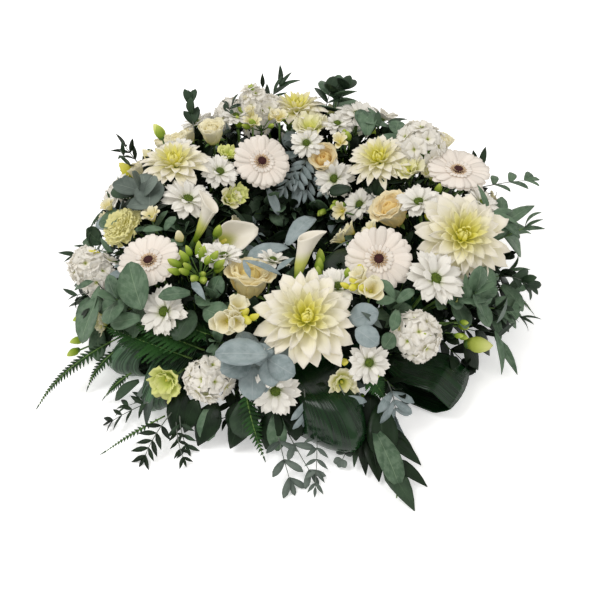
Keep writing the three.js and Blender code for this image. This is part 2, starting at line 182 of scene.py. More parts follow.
def make_piece(name, bunch, slot, *nodes):
    """Joins a bunch into one mesh object that rides on the wreath and stands for its CAD nodes."""
    shapes = [copy[0] for copy in bunch.copies]
    points = [
        shape.points @ np.array(place.to_3x3()).T + np.array(place.translation)
        for shape, place, *_ in bunch.copies
    ]
    points = [rest_on_floor(block) for block in points]
    point_counts = [len(shape.points) for shape in shapes]
    face_counts = [len(shape.sizes) for shape in shapes]
    starts = np.cumsum([0] + point_counts[:-1])
    corners = [shape.corners + start for shape, start in zip(shapes, starts)]
    sizes = np.concatenate([shape.sizes for shape in shapes])
    mesh = bpy.data.meshes.new(name)
    mesh.vertices.add(sum(point_counts))
    mesh.vertices.foreach_set("co", np.concatenate(points).ravel())
    mesh.loops.add(int(sizes.sum()))
    mesh.loops.foreach_set("vertex_index", np.concatenate(corners))
    mesh.polygons.add(len(sizes))
    mesh.polygons.foreach_set("loop_start", np.concatenate([[0], np.cumsum(sizes)[:-1]]))
    finishes = list(dict.fromkeys(copy[2] for copy in bunch.copies))
    for finish in finishes:
        mesh.materials.append(bpy.data.materials[finish])
    slots = spread([finishes.index(copy[2]) for copy in bunch.copies], face_counts)
    mesh.update(calc_edges=True)
    mesh.polygons.foreach_set("material_index", slots.astype(np.int32))
    mesh.polygons.foreach_set("use_smooth", np.ones(len(sizes), dtype=bool))
    uv = np.concatenate([shape.uv for shape in shapes])
    mesh.uv_layers.new(name="UVMap").data.foreach_set("uv", uv)
    for label, index in (("tone", 3), ("ring", 4)):
        values = spread([copy[index] for copy in bunch.copies], point_counts)
        mesh.attributes.new(label, "FLOAT", "POINT").data.foreach_set("value", values)
    mesh.validate()
    piece = bpy.data.objects.new(name, mesh)
    bpy.context.collection.objects.link(piece)
    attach(piece, "root")
    if nodes:
        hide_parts(*nodes)


# %% [markdown]
# ## One sheet for every petal and leaf
# Petals and leaves are all thin sheets: an outline, a bend along the middle, a cup or a fold across, and
# sometimes a ruffled edge. The sheet starts as a flat grid, its points are moved along those curves, and a
# Solidify modifier gives it its thickness. The outline is a short list of (distance along, share of width).

# %% Sheets


def coordinates(item):
    """The places of an object's points, one row each."""
    points = np.empty(3 * len(item.data.vertices))
    item.data.vertices.foreach_get("co", points)
    return points.reshape(-1, 3)


def thicken(item, thickness):
    """Gives a sheet its thickness in millimetres, half of it on each side."""
    wall = item.modifiers.new("wall", "SOLIDIFY")
    wall.thickness = thickness * MM
    wall.offset = 0
    bpy.context.view_layer.objects.active = item
    bpy.ops.object.modifier_apply(modifier=wall.name)


MIDDLE_STEPS = 60  # how finely the curve along the middle is followed


def sheet(
    length, width, outline, lift=0, curl=0, power=1.5, cup=0, fold=0, ruffle=0, waves=2,
    notch=0, thickness=0.5, columns=4, rows=5,
):
    """A petal or leaf along +Y, its upper face to +Z, in millimetres and degrees."""
    bpy.ops.mesh.primitive_grid_add(x_subdivisions=columns, y_subdivisions=rows, size=1)
    item = bpy.context.object
    flat = coordinates(item)
    across = 2 * flat[:, 0]
    along = flat[:, 1] + 0.5
    share = np.linspace(0, 1, MIDDLE_STEPS)
    slope = np.radians(lift) + np.radians(curl) * share**power
    run = np.concatenate([[0], np.cumsum(np.cos(slope))[:-1]]) * length / MIDDLE_STEPS
    rise = np.concatenate([[0], np.cumsum(np.sin(slope))[:-1]]) * length / MIDDLE_STEPS
    middle_y = np.interp(along, share, run)
    middle_z = np.interp(along, share, rise)
    angle = np.interp(along, share, slope)
    half = 0.5 * width * np.interp(along, *zip(*outline))
    bow = math.radians(cup) + 1e-6
    side = half * np.sin(bow * across) / bow
    height = half * (1 - np.cos(bow * across)) / bow
    height += fold * np.abs(half * across)
    side_waves = np.sin(2 * math.pi * waves * along + 1.3 * np.sign(across))
    height += ruffle * along * np.abs(across) * side_waves
    height += ruffle * along**3 * np.cos(math.pi * waves * across)
    middle_y = middle_y - notch * along**5 * (1 - np.abs(across))
    moved = np.stack(
        [side, middle_y - height * np.sin(angle), middle_z + height * np.cos(angle)], axis=1
    )
    item.data.vertices.foreach_set("co", (moved * MM).ravel())
    thicken(item, thickness)
    return Shape(item)


OVAL = [(0, 0.3), (0.25, 0.75), (0.55, 1), (0.8, 0.8), (0.94, 0.4), (1, 0.12)]
STRAP = [(0, 0.45), (0.3, 0.8), (0.65, 1), (0.88, 0.9), (1, 0.45)]
FAN = [(0, 0.2), (0.3, 0.5), (0.6, 0.85), (0.85, 1), (1, 0.8)]
ROUND = [(0, 0.12), (0.12, 0.55), (0.35, 0.95), (0.55, 1), (0.8, 0.8), (0.93, 0.45), (1, 0.14)]
LANCE = [(0, 0.1), (0.15, 0.6), (0.35, 1), (0.6, 0.85), (0.85, 0.4), (1, 0.04)]

# %% [markdown]
# ## Round things
# Stems are rods that follow a route and get thinner towards the tip. Buttons, buds and calyxes are balls
# pulled into shape by a profile. A rod is a grid rolled round its route, with its seam merged and its ends
# filled. A ball starts from a sphere, which is closed from the outset.

# %% Rods and balls


def square_to(ahead, way):
    """The part of a direction that is square to another."""
    return way - ahead * ahead.dot(way)


def jitter(rng, most):
    """A small random step, in any direction."""
    return Vector([rng.uniform(-most, most) for _ in range(3)])


def polar_way(polar, around):
    """A direction at an angle from +Z and an angle round it, in radians."""
    flat = math.sin(polar)
    return Vector((flat * math.cos(around), flat * math.sin(around), math.cos(polar)))


def rod(route, start, end, sides=6):
    """A closed tapering rod along a list of points in metres; its start and end radii are too."""
    route = [Vector(point) for point in route]
    bpy.ops.mesh.primitive_grid_add(x_subdivisions=sides, y_subdivisions=len(route) - 1, size=1)
    item = bpy.context.object
    flat = coordinates(item)
    moved = []
    side = (route[1] - route[0]).orthogonal().normalized()
    sides_at = []
    for index, point in enumerate(route):
        ahead = route[min(index + 1, len(route) - 1)] - route[max(index - 1, 0)]
        ahead.normalize()
        side = square_to(ahead, side).normalized()
        sides_at.append((point, side.copy(), ahead.cross(side)))
    for x, y, _ in flat:
        step = round((y + 0.5) * (len(route) - 1))
        point, one, other = sides_at[step]
        turn = 2 * math.pi * (x + 0.5)
        radius = start + (end - start) * step / (len(route) - 1)
        moved.append(point + radius * (math.cos(turn) * one + math.sin(turn) * other))
    item.data.vertices.foreach_set("co", np.array(moved).ravel())
    bpy.context.view_layer.objects.active = item
    bpy.ops.object.mode_set(mode="EDIT")
    bpy.ops.mesh.select_all(action="SELECT")
    bpy.ops.mesh.remove_doubles(threshold=1e-6)
    bpy.ops.mesh.select_all(action="DESELECT")
    bpy.ops.mesh.select_non_manifold()
    bpy.ops.mesh.edge_face_add()
    bpy.ops.mesh.select_all(action="SELECT")
    bpy.ops.mesh.normals_make_consistent(inside=False)
    bpy.ops.object.mode_set(mode="OBJECT")
    return Shape(item)


def ball(profile, sides=8, rows=6, bumps=0):
    """A closed round shape about +Z. The profile is a list of (height, radius) in millimetres."""
    bpy.ops.mesh.primitive_uv_sphere_add(segments=sides, ring_count=rows, radius=1)
    item = bpy.context.object
    points = coordinates(item)
    heights, radii = zip(*profile)
    share = (1 - np.arccos(np.clip(points[:, 2], -1, 1)) / math.pi) * (len(profile) - 1)
    around = np.arctan2(points[:, 1], points[:, 0])
    radius = np.interp(share, range(len(profile)), radii)
    radius = radius * (1 + bumps * np.cos(3 * around))
    points[:, 0] = radius * np.cos(around)
    points[:, 1] = radius * np.sin(around)
    points[:, 2] = np.interp(share, range(len(profile)), heights)
    item.data.vertices.foreach_set("co", (points * MM).ravel())
    return Shape(item)


# %% [markdown]
# ## Where things go on a flower
# A petal starts near the stem's axis, points out at an azimuth and rises at an elevation. Its upper face
# looks towards the axis as it stands up. The same placement serves leaves on a stem.

# %% Placement


def petal_place(azimuth, elevation, out, up, scale=1.0, roll=0.0):
    """Angles in degrees; out and up, in millimetres, are where the petal's foot is on the head."""
    spin = Matrix.Rotation(math.radians(azimuth - 90), 4, "Z")
    tip = Matrix.Rotation(math.radians(elevation), 4, "X")
    turn = Matrix.Rotation(math.radians(roll), 4, "Y")
    foot = Matrix.Translation((0, out * MM, up * MM))
    return spin @ foot @ tip @ turn @ Matrix.Scale(scale, 4)


def along_axis(direction, spin, origin):
    """A frame whose +Z runs along a direction."""
    turn = Vector(direction).to_track_quat("Z", "Y").to_matrix().to_4x4()
    return Matrix.Translation(origin) @ turn @ Matrix.Rotation(math.radians(spin), 4, "Z")


GOLDEN_ANGLE = 137.508

# %% [markdown]
# ## The stems' places come from the CAD model
# Each CAD flower is a turned solid on a straight stem. Its cut end is the part nearest the foam's core
# circle, and its middle lies on the stem's line, which is enough to find the line, the reach and the size.

# %% Read the stems
foam_high = Vector(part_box("floral_foam_ring")[1])


def node_points(node):
    return coordinates(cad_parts[node])


FOAM_OUTER = foam_high.x
FOAM_INNER = float(np.hypot(*node_points("floral_foam_ring")[:, :2].T).min())
CORE_RADIUS = (FOAM_OUTER + FOAM_INNER) / 2
CORE_HEIGHT = 30 * MM
STEM_FOOT = 13 * MM  # from the core circle to a stem's cut end


class Stem:
    """A straight stem: its cut end, the way it points, its reach from the core circle, its head's radius
    and the middle of the head's face."""

    def __init__(self, foot, along, reach, radius):
        self.foot = foot
        self.along = along
        self.radius = radius
        self.face = foot + (reach - STEM_FOOT) * along


def radial(clock):
    return Vector((math.cos(math.radians(clock)), math.sin(math.radians(clock)), 0))


def tangent(clock):
    return Vector((-math.sin(math.radians(clock)), math.cos(math.radians(clock)), 0))


def core_point(clock):
    return CORE_RADIUS * radial(clock) + CORE_HEIGHT * UP


def outward(clock, lean):
    """Clock goes round the ring, and lean runs from outwards (0) through up (90) to the hole (180)."""
    return math.cos(math.radians(lean)) * radial(clock) + math.sin(math.radians(lean)) * UP


def ring_point(clock, lean, reach):
    return core_point(clock) + reach * MM * outward(clock, lean)


def stem_at(clock, lean, reach, radius=0):
    """A stem on the ring, from angles in degrees and lengths in millimetres."""
    along = outward(clock, lean)
    return Stem(core_point(clock) + STEM_FOOT * along, along, reach * MM, radius * MM)


# How far the top of each CAD head stands above its face: a share of its radius, and a length.
CROWN = {
    "dahlia": (0.2, 0), "gerbera": (0, 3 * MM), "rose": (0, 0), "carnation": (0.2, 0),
    "calla": (0, 1.5 * MM), "stock": (0.2, 0), "chrysanthemum": (0, 3.5 * MM), "lisianthus": (0, 0),
}


def stem_of(node, kind):
    points = node_points(node)
    from_axis = np.hypot(points[:, 0], points[:, 1])
    from_core = np.hypot(from_axis - CORE_RADIUS, points[:, 2] - CORE_HEIGHT)
    foot = points[from_core < from_core.min() + 0.6 * MM].mean(axis=0)
    along = points.mean(axis=0) - foot
    along /= np.linalg.norm(along)
    rise = (points - foot) @ along
    aside = np.linalg.norm(points - foot - rise[:, None] * along, axis=1)
    share, extra = CROWN[kind]
    reach = rise.max() - share * aside.max() - extra + STEM_FOOT
    return Stem(Vector(foot), Vector(along), float(reach), float(aside.max()))


def head_frame(stem, spin=0.0, tilt=(0, 0), nod=(0, 0, 0)):
    """The frame of a flower head: its origin in the middle of the face, +Z out along the stem.
    Tilt turns it by angles in its own frame, and nod bends it towards a direction of the wreath's frame."""
    turn = Matrix.Rotation(math.radians(tilt[0]), 4, "X") @ Matrix.Rotation(math.radians(tilt[1]), 4, "Y")
    return along_axis(stem.along + Vector(nod), spin, stem.face) @ turn


print("core circle radius:", round(CORE_RADIUS, 4))

# %% [markdown]
# ## Colour that follows a petal
# Every petal has fine streaks along it, and its colour changes from foot to tip. One node group gives those
# as values: how far along a point is, the streaks, and the copy's own tone and ring. The materials feed
# them to colour ramps and bumps. A second group draws a leaf's midrib, side veins and mottling.

# %% Node helpers and groups


def srgb(red, green, blue):
    """A display colour from 0 to 255, as the linear colour that shaders use."""
    def linear(value):
        value /= 255
        return value / 12.92 if value <= 0.04045 else ((value + 0.055) / 1.055) ** 2.4
    return (linear(red), linear(green), linear(blue), 1)


def math_node(tree, operation, first, second=0.5):
    """One step of arithmetic on values or sockets; a step on one value takes no notice of the second."""
    node = tree.nodes.new("ShaderNodeMath")
    node.operation = operation
    for socket, value in zip(node.inputs, (first, second)):
        if isinstance(value, (int, float)):
            socket.default_value = value
        else:
            tree.links.new(value, socket)
    return node.outputs[0]


def times(tree, first, second):
    return math_node(tree, "MULTIPLY", first, second)


def minus(tree, first, second):
    return math_node(tree, "SUBTRACT", first, second)


def from_half(tree, value):
    """How far a value is from a half, either way."""
    return math_node(tree, "ABSOLUTE", minus(tree, value, 0.5))


def weigh(tree, first, share, second):
    """A share of one value and the rest of another."""
    return math_node(tree, "ADD", times(tree, first, share), times(tree, second, 1 - share))


def smooth_step(tree, value, low, high):
    """Rises from 0 to 1 between two values."""
    node = tree.nodes.new("ShaderNodeMapRange")
    node.interpolation_type = "SMOOTHSTEP"
    tree.links.new(value, node.inputs["Value"])
    node.inputs["From Min"].default_value = low
    node.inputs["From Max"].default_value = high
    return node.outputs["Result"]


def mix_colours(tree, share, first, second, blend="MIX"):
    node = tree.nodes.new("ShaderNodeMix")
    node.data_type = "RGBA"
    node.blend_type = blend
    for index, value in ((0, share), (6, first), (7, second)):
        if isinstance(value, (int, float, tuple)):
            node.inputs[index].default_value = value
        else:
            tree.links.new(value, node.inputs[index])
    return node.outputs[2]


def colour_ramp(tree, value, stops):
    """The stops are a list of (place, colour)."""
    node = tree.nodes.new("ShaderNodeValToRGB")
    node.color_ramp.interpolation = "EASE"
    elements = node.color_ramp.elements
    while len(elements) < len(stops):
        elements.new(0.5)
    for element, (place, colour) in zip(elements, stops):
        element.position = place
        element.color = colour
    tree.links.new(value, node.inputs["Fac"])
    return node.outputs["Color"]


def new_group(name, inputs, outputs):
    """A shader node group with number sockets; the inputs give their values too."""
    group = bpy.data.node_groups.new(name, "ShaderNodeTree")
    for label, value in inputs.items():
        socket = group.interface.new_socket(label, in_out="INPUT", socket_type="NodeSocketFloat")
        socket.default_value = value
    for label in outputs:
        group.interface.new_socket(label, in_out="OUTPUT", socket_type="NodeSocketFloat")
    return group, group.nodes.new("NodeGroupInput"), group.nodes.new("NodeGroupOutput")


def attribute(tree, name):
    node = tree.nodes.new("ShaderNodeAttribute")
    node.attribute_name = name
    return node.outputs["Fac"]


def uv_axes(tree):
    uv = tree.nodes.new("ShaderNodeUVMap")
    uv.uv_map = "UVMap"
    apart = tree.nodes.new("ShaderNodeSeparateXYZ")
    tree.links.new(uv.outputs["UV"], apart.inputs["Vector"])
    return apart.outputs["X"], apart.outputs["Y"]


def noise(tree, vector, scale, detail=3.0):
    node = tree.nodes.new("ShaderNodeTexNoise")
    node.inputs["Scale"].default_value = scale
    node.inputs["Detail"].default_value = detail
    tree.links.new(vector, node.inputs["Vector"])
    return node.outputs["Fac"]


def object_place(tree):
    return tree.nodes.new("ShaderNodeTexCoord").outputs["Object"]


def give(group, outlet, values):
    """Links each value to the group's output of that name."""
    for label, value in values.items():
        group.links.new(value, outlet.inputs[label])


grain, grain_in, grain_out = new_group(
    "petal_grain", {"Streaks": 9.0}, ("Along", "Streak", "Tone", "Ring")
)
across, along = uv_axes(grain)
tone = attribute(grain, "tone")
stretch = grain.nodes.new("ShaderNodeCombineXYZ")
grain.links.new(times(grain, across, grain_in.outputs["Streaks"]), stretch.inputs["X"])
grain.links.new(times(grain, along, 0.8), stretch.inputs["Y"])
grain.links.new(times(grain, tone, 40), stretch.inputs["Z"])
streak = smooth_step(grain, noise(grain, stretch.outputs["Vector"], 1.6), 0.3, 0.7)
ring = attribute(grain, "ring")
give(grain, grain_out, {"Along": along, "Streak": streak, "Tone": tone, "Ring": ring})

veins, veins_in, veins_out = new_group(
    "leaf_veins", {"Side Veins": 9.0, "Slant": 0.5}, ("Midrib", "Vein", "Mottle", "Tone")
)
across, along = uv_axes(veins)
tone = attribute(veins, "tone")
from_middle = from_half(veins, across)
midrib = minus(veins, 1.0, smooth_step(veins, from_middle, 0.007, 0.028))
slanted = minus(veins, along, times(veins, from_middle, veins_in.outputs["Slant"]))
wave = math_node(veins, "FRACT", times(veins, slanted, veins_in.outputs["Side Veins"]))
vein = minus(veins, 1.0, smooth_step(veins, from_half(veins, wave), 0.03, 0.14))
mottle = smooth_step(veins, noise(veins, object_place(veins), 60, 4.0), 0.35, 0.65)
give(veins, veins_out, {"Midrib": midrib, "Vein": vein, "Mottle": mottle, "Tone": tone})
print("node groups:", [group.name for group in bpy.data.node_groups])

# %% [markdown]
# ## Finishes
# A petal's finish takes the colours of its foot, middle and tip, once for the outer petals and once for the
# heart, and blends the two by ring. A leaf's finish takes a dark and a light green, its vein colour and its
# roughness: eucalyptus is dull, with a waxy bloom. Aspidistra is glossy, with fine streaks along it. Stems,
# the flowers' eyes, the foam and the tray get simple mottled colours. Colours run from 0 to 255.

# %% Petal, leaf and plain finishes


def new_finish(name, roughness, specular=0.4):
    finish = bpy.data.materials.new(name)
    finish.use_nodes = True
    shader = finish.node_tree.nodes["Principled BSDF"]
    shader.inputs["Roughness"].default_value = roughness
    shader.inputs["Specular IOR Level"].default_value = specular
    return finish.node_tree, shader


def add_bump(tree, shader, height, distance, strength=0.5):
    bump = tree.nodes.new("ShaderNodeBump")
    bump.inputs["Distance"].default_value = distance
    bump.inputs["Strength"].default_value = strength
    tree.links.new(height, bump.inputs["Height"])
    tree.links.new(bump.outputs["Normal"], shader.inputs["Normal"])


def add_group(tree, name, values):
    """Places a node group with its own input values."""
    node = tree.nodes.new("ShaderNodeGroup")
    node.node_tree = bpy.data.node_groups[name]
    for label, value in values.items():
        node.inputs[label].default_value = value
    return node.outputs


# Petals are thin and let some light through. Here that is a painted glow: each petal gives off a little
# light in its own colour, so that its shaded sides are never quite dark.
PETAL_PAINTED_GLOW = 0.17
PETAL_SHADE = (0.93, 0.92, 0.87, 1)
DULLEST_TONE = (0.69, 0.68, 0.66, 1)
BRIGHTEST_TONE = (0.79, 0.776, 0.755, 1)


def petal_finish(
    name, outer, heart=None, blend=(0.15, 0.6), stops=(0.02, 0.4, 0.95), shade=PETAL_SHADE, streaks=9.0,
    roughness=0.62,
):
    """Outer and heart are the colours of a petal's foot, middle and tip, and stops is where they stand.
    Blend gives the rings between which the heart's colours turn into the outer ones."""
    tree, shader = new_finish(name, roughness, 0.25)
    grain = add_group(tree, "petal_grain", {"Streaks": streaks})
    colour = colour_ramp(tree, grain["Along"], [(at, srgb(*shown)) for at, shown in zip(stops, outer)])
    if heart:
        inner = colour_ramp(tree, grain["Along"], [(at, srgb(*shown)) for at, shown in zip(stops, heart)])
        colour = mix_colours(tree, smooth_step(tree, grain["Ring"], *blend), inner, colour)
    colour = mix_colours(tree, times(tree, grain["Streak"], 0.4), colour, shade, "MULTIPLY")
    tint = colour_ramp(tree, grain["Tone"], [(0.0, DULLEST_TONE), (1.0, BRIGHTEST_TONE)])
    colour = mix_colours(tree, 1.0, colour, tint, "MULTIPLY")
    tree.links.new(colour, shader.inputs["Base Color"])
    # Painted light: the petal's colour glows, and lifts the shade between petals.
    tree.links.new(colour, shader.inputs["Emission Color"])
    shader.inputs["Emission Strength"].default_value = PETAL_PAINTED_GLOW
    add_bump(tree, shader, grain["Streak"], 0.12 * MM, 0.4)


def leaf_finish(
    name, dark, light, vein, roughness, veins=9.0, slant=0.5, vein_share=0.35, specular=0.4, bloom=None,
):
    """Veins counts the side veins, slant says how much they lean, and bloom is the colour of the wax."""
    tree, shader = new_finish(name, roughness, specular)
    lines = add_group(tree, "leaf_veins", {"Side Veins": veins, "Slant": slant})
    blotch = weigh(tree, lines["Mottle"], 0.45, lines["Tone"])
    colour = mix_colours(tree, blotch, srgb(*dark), srgb(*light))
    if bloom:
        dust = smooth_step(tree, noise(tree, object_place(tree), 140, 5.0), 0.42, 0.62)
        colour = mix_colours(tree, times(tree, dust, 0.4), colour, srgb(*bloom))
    either = math_node(tree, "MAXIMUM", times(tree, lines["Vein"], 0.22), lines["Midrib"])
    colour = mix_colours(tree, times(tree, either, vein_share), colour, srgb(*vein))
    tree.links.new(colour, shader.inputs["Base Color"])
    rough = tree.nodes.new("ShaderNodeMapRange")
    tree.links.new(lines["Mottle"], rough.inputs["Value"])
    rough.inputs["To Min"].default_value = roughness - 0.06
    rough.inputs["To Max"].default_value = roughness + 0.08
    tree.links.new(rough.outputs["Result"], shader.inputs["Roughness"])
    add_bump(tree, shader, either, 0.4 * MM)


def streaked_finish(name, dark, light, roughness, streaks):
    """A glossy leaf with fine streaks along its veins; where the light colour is pale, they are painted
    sheen.
    """
    tree, shader = new_finish(name, roughness, 0.32)
    grain = add_group(tree, "petal_grain", {"Streaks": streaks})
    faint = times(tree, grain["Streak"], 0.7)
    tree.links.new(mix_colours(tree, faint, srgb(*dark), srgb(*light)), shader.inputs["Base Color"])
    add_bump(tree, shader, grain["Streak"], 0.5 * MM)


def mottled_finish(name, dark, light, roughness, scale=90, bump=0.3 * MM):
    """Soft patches of two colours; the scale says how many there are to the metre."""
    tree, shader = new_finish(name, roughness)
    patches = smooth_step(tree, noise(tree, object_place(tree), scale, 4.0), 0.35, 0.65)
    mixed = weigh(tree, patches, 0.6, attribute(tree, "tone"))
    tree.links.new(mix_colours(tree, mixed, srgb(*dark), srgb(*light)), shader.inputs["Base Color"])
    add_bump(tree, shader, patches, bump)


petal_finish(
    "dahlia_petal", ((228, 224, 136), (244, 239, 208), (246, 241, 228)),
    ((206, 208, 34), (236, 230, 78), (244, 238, 140)), (0.16, 0.66), (0.12, 0.5, 0.9), streaks=7,
)
petal_finish(
    "gerbera_petal", ((232, 212, 186), (242, 233, 224), (243, 236, 228)), shade=(0.93, 0.91, 0.88, 1),
    streaks=5,
)
mottled_finish("gerbera_eye", (34, 10, 12), (74, 24, 22), 0.8, 700, 0.6 * MM)
mottled_finish("gerbera_fringe", (168, 130, 96), (230, 208, 172), 0.8, 500)
petal_finish(
    "rose_petal", ((236, 204, 122), (240, 217, 152), (242, 229, 192)),
    ((234, 178, 76), (240, 198, 108), (241, 211, 138)), (0.25, 0.9), streaks=5,
)
petal_finish(
    "yellow_rose_petal", ((232, 208, 126), (240, 222, 156), (242, 231, 192)),
    ((232, 192, 84), (238, 208, 112), (240, 218, 140)), (0.25, 0.9), streaks=5,
)
petal_finish(
    "cream_rose_petal", ((222, 216, 128), (240, 232, 184), (242, 236, 206)),
    ((230, 214, 120), (240, 224, 160), (242, 232, 188)), (0.1, 0.8), streaks=5,
)
petal_finish("carnation_petal", ((206, 206, 96), (228, 224, 132), (238, 233, 168)), streaks=8)
petal_finish(
    "calla_spathe", ((112, 142, 26), (200, 206, 104), (241, 236, 224)), stops=(0.12, 0.4, 0.72),
    streaks=4, roughness=0.42,
)
petal_finish("stock_petal", ((226, 226, 168), (242, 239, 230), (244, 241, 234)), streaks=3)
petal_finish("chrysanthemum_petal", ((216, 220, 184), (240, 238, 232), (243, 241, 235)), streaks=6)
mottled_finish("chrysanthemum_button", (52, 72, 8), (98, 118, 22), 0.75, 500, 0.6 * MM)
petal_finish(
    "lisianthus_petal", ((150, 168, 30), (228, 228, 150), (242, 238, 208)),
    ((160, 176, 36), (216, 220, 110), (236, 234, 176)), (0.1, 0.7), (0.1, 0.5, 0.85), streaks=6,
)
petal_finish("green_lisianthus_petal", ((132, 156, 34), (194, 208, 92), (226, 230, 150)), streaks=6)
petal_finish("freesia_petal", ((214, 200, 80), (240, 230, 168), (242, 236, 206)), streaks=6)
petal_finish("green_bud", ((88, 122, 26), (134, 162, 46), (184, 200, 92)), streaks=5)
petal_finish("yellow_bud", ((150, 172, 34), (216, 212, 66), (232, 224, 110)), streaks=5)
mottled_finish("stem_green", (54, 84, 34), (104, 136, 61), 0.55)
mottled_finish("twig_grey", (79, 86, 79), (122, 127, 118), 0.7)
leaf_finish(
    "eucalyptus_leaf", (52, 75, 54), (90, 115, 88), (145, 165, 133), 0.58, 7, 0.8, 0.3, specular=0.3,
    bloom=(111, 131, 108),
)
leaf_finish(
    "silver_leaf", (108, 122, 122), (144, 157, 158), (186, 194, 194), 0.6, 5, 0.9, 0.25, specular=0.3,
    bloom=(158, 168, 170),
)
leaf_finish("grey_leaf", (68, 79, 72), (113, 124, 115), (154, 163, 154), 0.6, 8, 0.5, 0.25, specular=0.25)
leaf_finish("dusk_leaf", (25, 41, 27), (56, 77, 54), (86, 106, 81), 0.5, 8, 0.5, 0.25, specular=0.25)
leaf_finish("small_dark_leaf", (9, 19, 9), (29, 47, 25), (54, 72, 45), 0.45, 8, 0.5, 0.25, specular=0.2)
leaf_finish("broad_leaf", (9, 23, 10), (24, 45, 21), (41, 66, 36), 0.36, 9, 0.6, 0.25, specular=0.2)
# Nearly black: a dark green with painted shade in it, for the deep gaps between the heads.
leaf_finish("filler_leaf", (6, 14, 6), (19, 36, 16), (36, 56, 32), 0.5, 9, 0.5, 0.25, specular=0.15)
leaf_finish("fern_leaf", (16, 44, 14), (42, 84, 32), (72, 116, 56), 0.5, 10, 0.7, 0.3, specular=0.2)
leaf_finish("dark_fern_leaf", (16, 38, 14), (38, 70, 29), (68, 102, 52), 0.5, 10, 0.7, 0.3, specular=0.2)
streaked_finish("aspidistra_leaf", (7, 27, 11), (22, 56, 24), 0.15, 30)
# This leaf's pale streaks are painted sheen: the light caught along its ribs, on a dark green.
streaked_finish("striped_aspidistra_leaf", (10, 32, 16), (96, 130, 98), 0.2, 24)
print("finishes:", len(bpy.data.materials))

# %% [markdown]
# ## The stalks
# Every flower has a green stalk that goes down into the foam, and most have a green cup under the petals.
# A stalk and a cup of unit size are modelled once and stretched to fit each flower.

# %% Stalks and calyxes
STALK = rod([(0, 0, share) for share in (0, 0.5, 1)], 1.0, 0.85, sides=6)
CALYX = ball([(-1, 0.25), (-0.8, 0.7), (-0.3, 1.0), (0.2, 0.9), (0.3, 0.6)], sides=8, rows=5)
BUD = ball([(0, 0.3), (0.12, 0.75), (0.35, 1.0), (0.6, 0.85), (0.85, 0.45), (1, 0.1)], sides=7, bumps=0.1)
SEPAL = sheet(10, 4, LANCE, lift=20, curl=-35, cup=30, columns=2, rows=3, thickness=0.35)


def aim(origin, direction, face, scale=1.0):
    """A frame whose +Y runs along a direction and whose +Z looks towards a face as nearly as it can."""
    ahead = Vector(direction).normalized()
    side = ahead.cross(Vector(face)).normalized()
    up = side.cross(ahead)
    turn = Matrix((side, ahead, up)).transposed().to_4x4()
    return Matrix.Translation(origin) @ turn @ Matrix.Scale(scale, 4)


def add_rod(bunch, start, end, radius):
    """A straight green rod between two points, in metres."""
    stretch = Matrix.Diagonal((radius, radius, (end - start).length, 1))
    bunch.add(STALK, along_axis(end - start, 0, start) @ stretch, "stem_green")


def add_ball(bunch, shape, foot, direction, length, radius, finish, tone=0.5, spin=0.0, ring=0.5):
    """Stretches a ball of unit length and radius."""
    stretch = Matrix.Diagonal((radius / MM, radius / MM, length / MM, 1))
    bunch.add(shape, along_axis(direction, spin, foot) @ stretch, finish, tone, ring)


def sunk(depth, radius, height):
    """A frame at a depth below a flower's face, stretched to a radius and a height, in millimetres."""
    return Matrix.Translation((0, 0, -depth * MM)) @ Matrix.Diagonal((radius, radius, height, 1))


def add_cup(bunch, head, depth, radius, height):
    """The green cup under the petals."""
    bunch.add(CALYX, head @ sunk(depth, radius, height), "stem_green")


def add_stalk(bunch, stem, below, radius):
    """The stalk from the foam up to a depth below the face, in millimetres."""
    foot = stem.foot - 4 * MM * stem.along
    add_rod(bunch, foot, stem.face - below * MM * stem.along, radius * MM)


print("stalk, calyx, bud and sepal shapes ready")

# %% [markdown]
# ## Dahlias
# A decorative dahlia is a spiral of pointed petals: small and curled inwards in its green-yellow heart,
# then opening to broad ivory ones that lie flat or bend back, some of them rolled. Each petal is turned by
# the golden angle from the last, the way the plant does it, and four petal shapes are enough.

# %% Dahlia
DAHLIA_PETAL = 40  # the modelled length in millimetres
POINTED = [(0, 0.35), (0.2, 0.66), (0.45, 0.96), (0.62, 1), (0.8, 0.78), (0.92, 0.42), (1, 0.05)]
dahlia_heart = sheet(DAHLIA_PETAL, 15, POINTED, lift=-12, curl=95, power=1.4, cup=95, thickness=0.8)
dahlia_middle = sheet(
    DAHLIA_PETAL, 15, POINTED, lift=4, curl=14, power=2, cup=70, ruffle=0.5, waves=1, rows=6,
)
dahlia_rolled = sheet(
    DAHLIA_PETAL, 17, POINTED, lift=14, curl=-22, power=1.5, cup=88, ruffle=0.5, waves=1, rows=6,
)
dahlia_outer = sheet(
    DAHLIA_PETAL, 18, POINTED, lift=14, curl=-36, power=1.5, cup=38, ruffle=0.8, waves=1, rows=6,
)


def dahlia(bunch, head, size, rng):
    count = int(54 + 0.62 * size)
    for index in range(count):
        share = index / (count - 1)
        length = (11 + (1.08 * size - 16) * share**0.7) * rng.uniform(0.87, 1.07)
        elevation = 82 * (1 - share) ** 1.25 - 6 * share + rng.uniform(-6, 6)
        petal = rng.choice((dahlia_outer, dahlia_outer, dahlia_rolled))
        if share < 0.5:
            petal = dahlia_heart if share < 0.22 else dahlia_middle
        azimuth = GOLDEN_ANGLE * index + rng.uniform(-4, 4)
        out = 1.2 + 9 * share
        up = -9 + 5 * (1 - share**2)
        place = petal_place(azimuth, elevation, out, up, length / DAHLIA_PETAL, rng.uniform(-20, 20))
        bunch.add(petal, head @ place, "dahlia_petal", rng.random(), share)
    add_cup(bunch, head, 10, 13, 9)


# %% [markdown]
# ## Gerberas
# A gerbera is flat: two overlapping rings of long straps with round ends, a ring of short ones, a fringe of
# tan florets, and a small dark eye. The straps hardly rise at all, and no two lie quite the same.

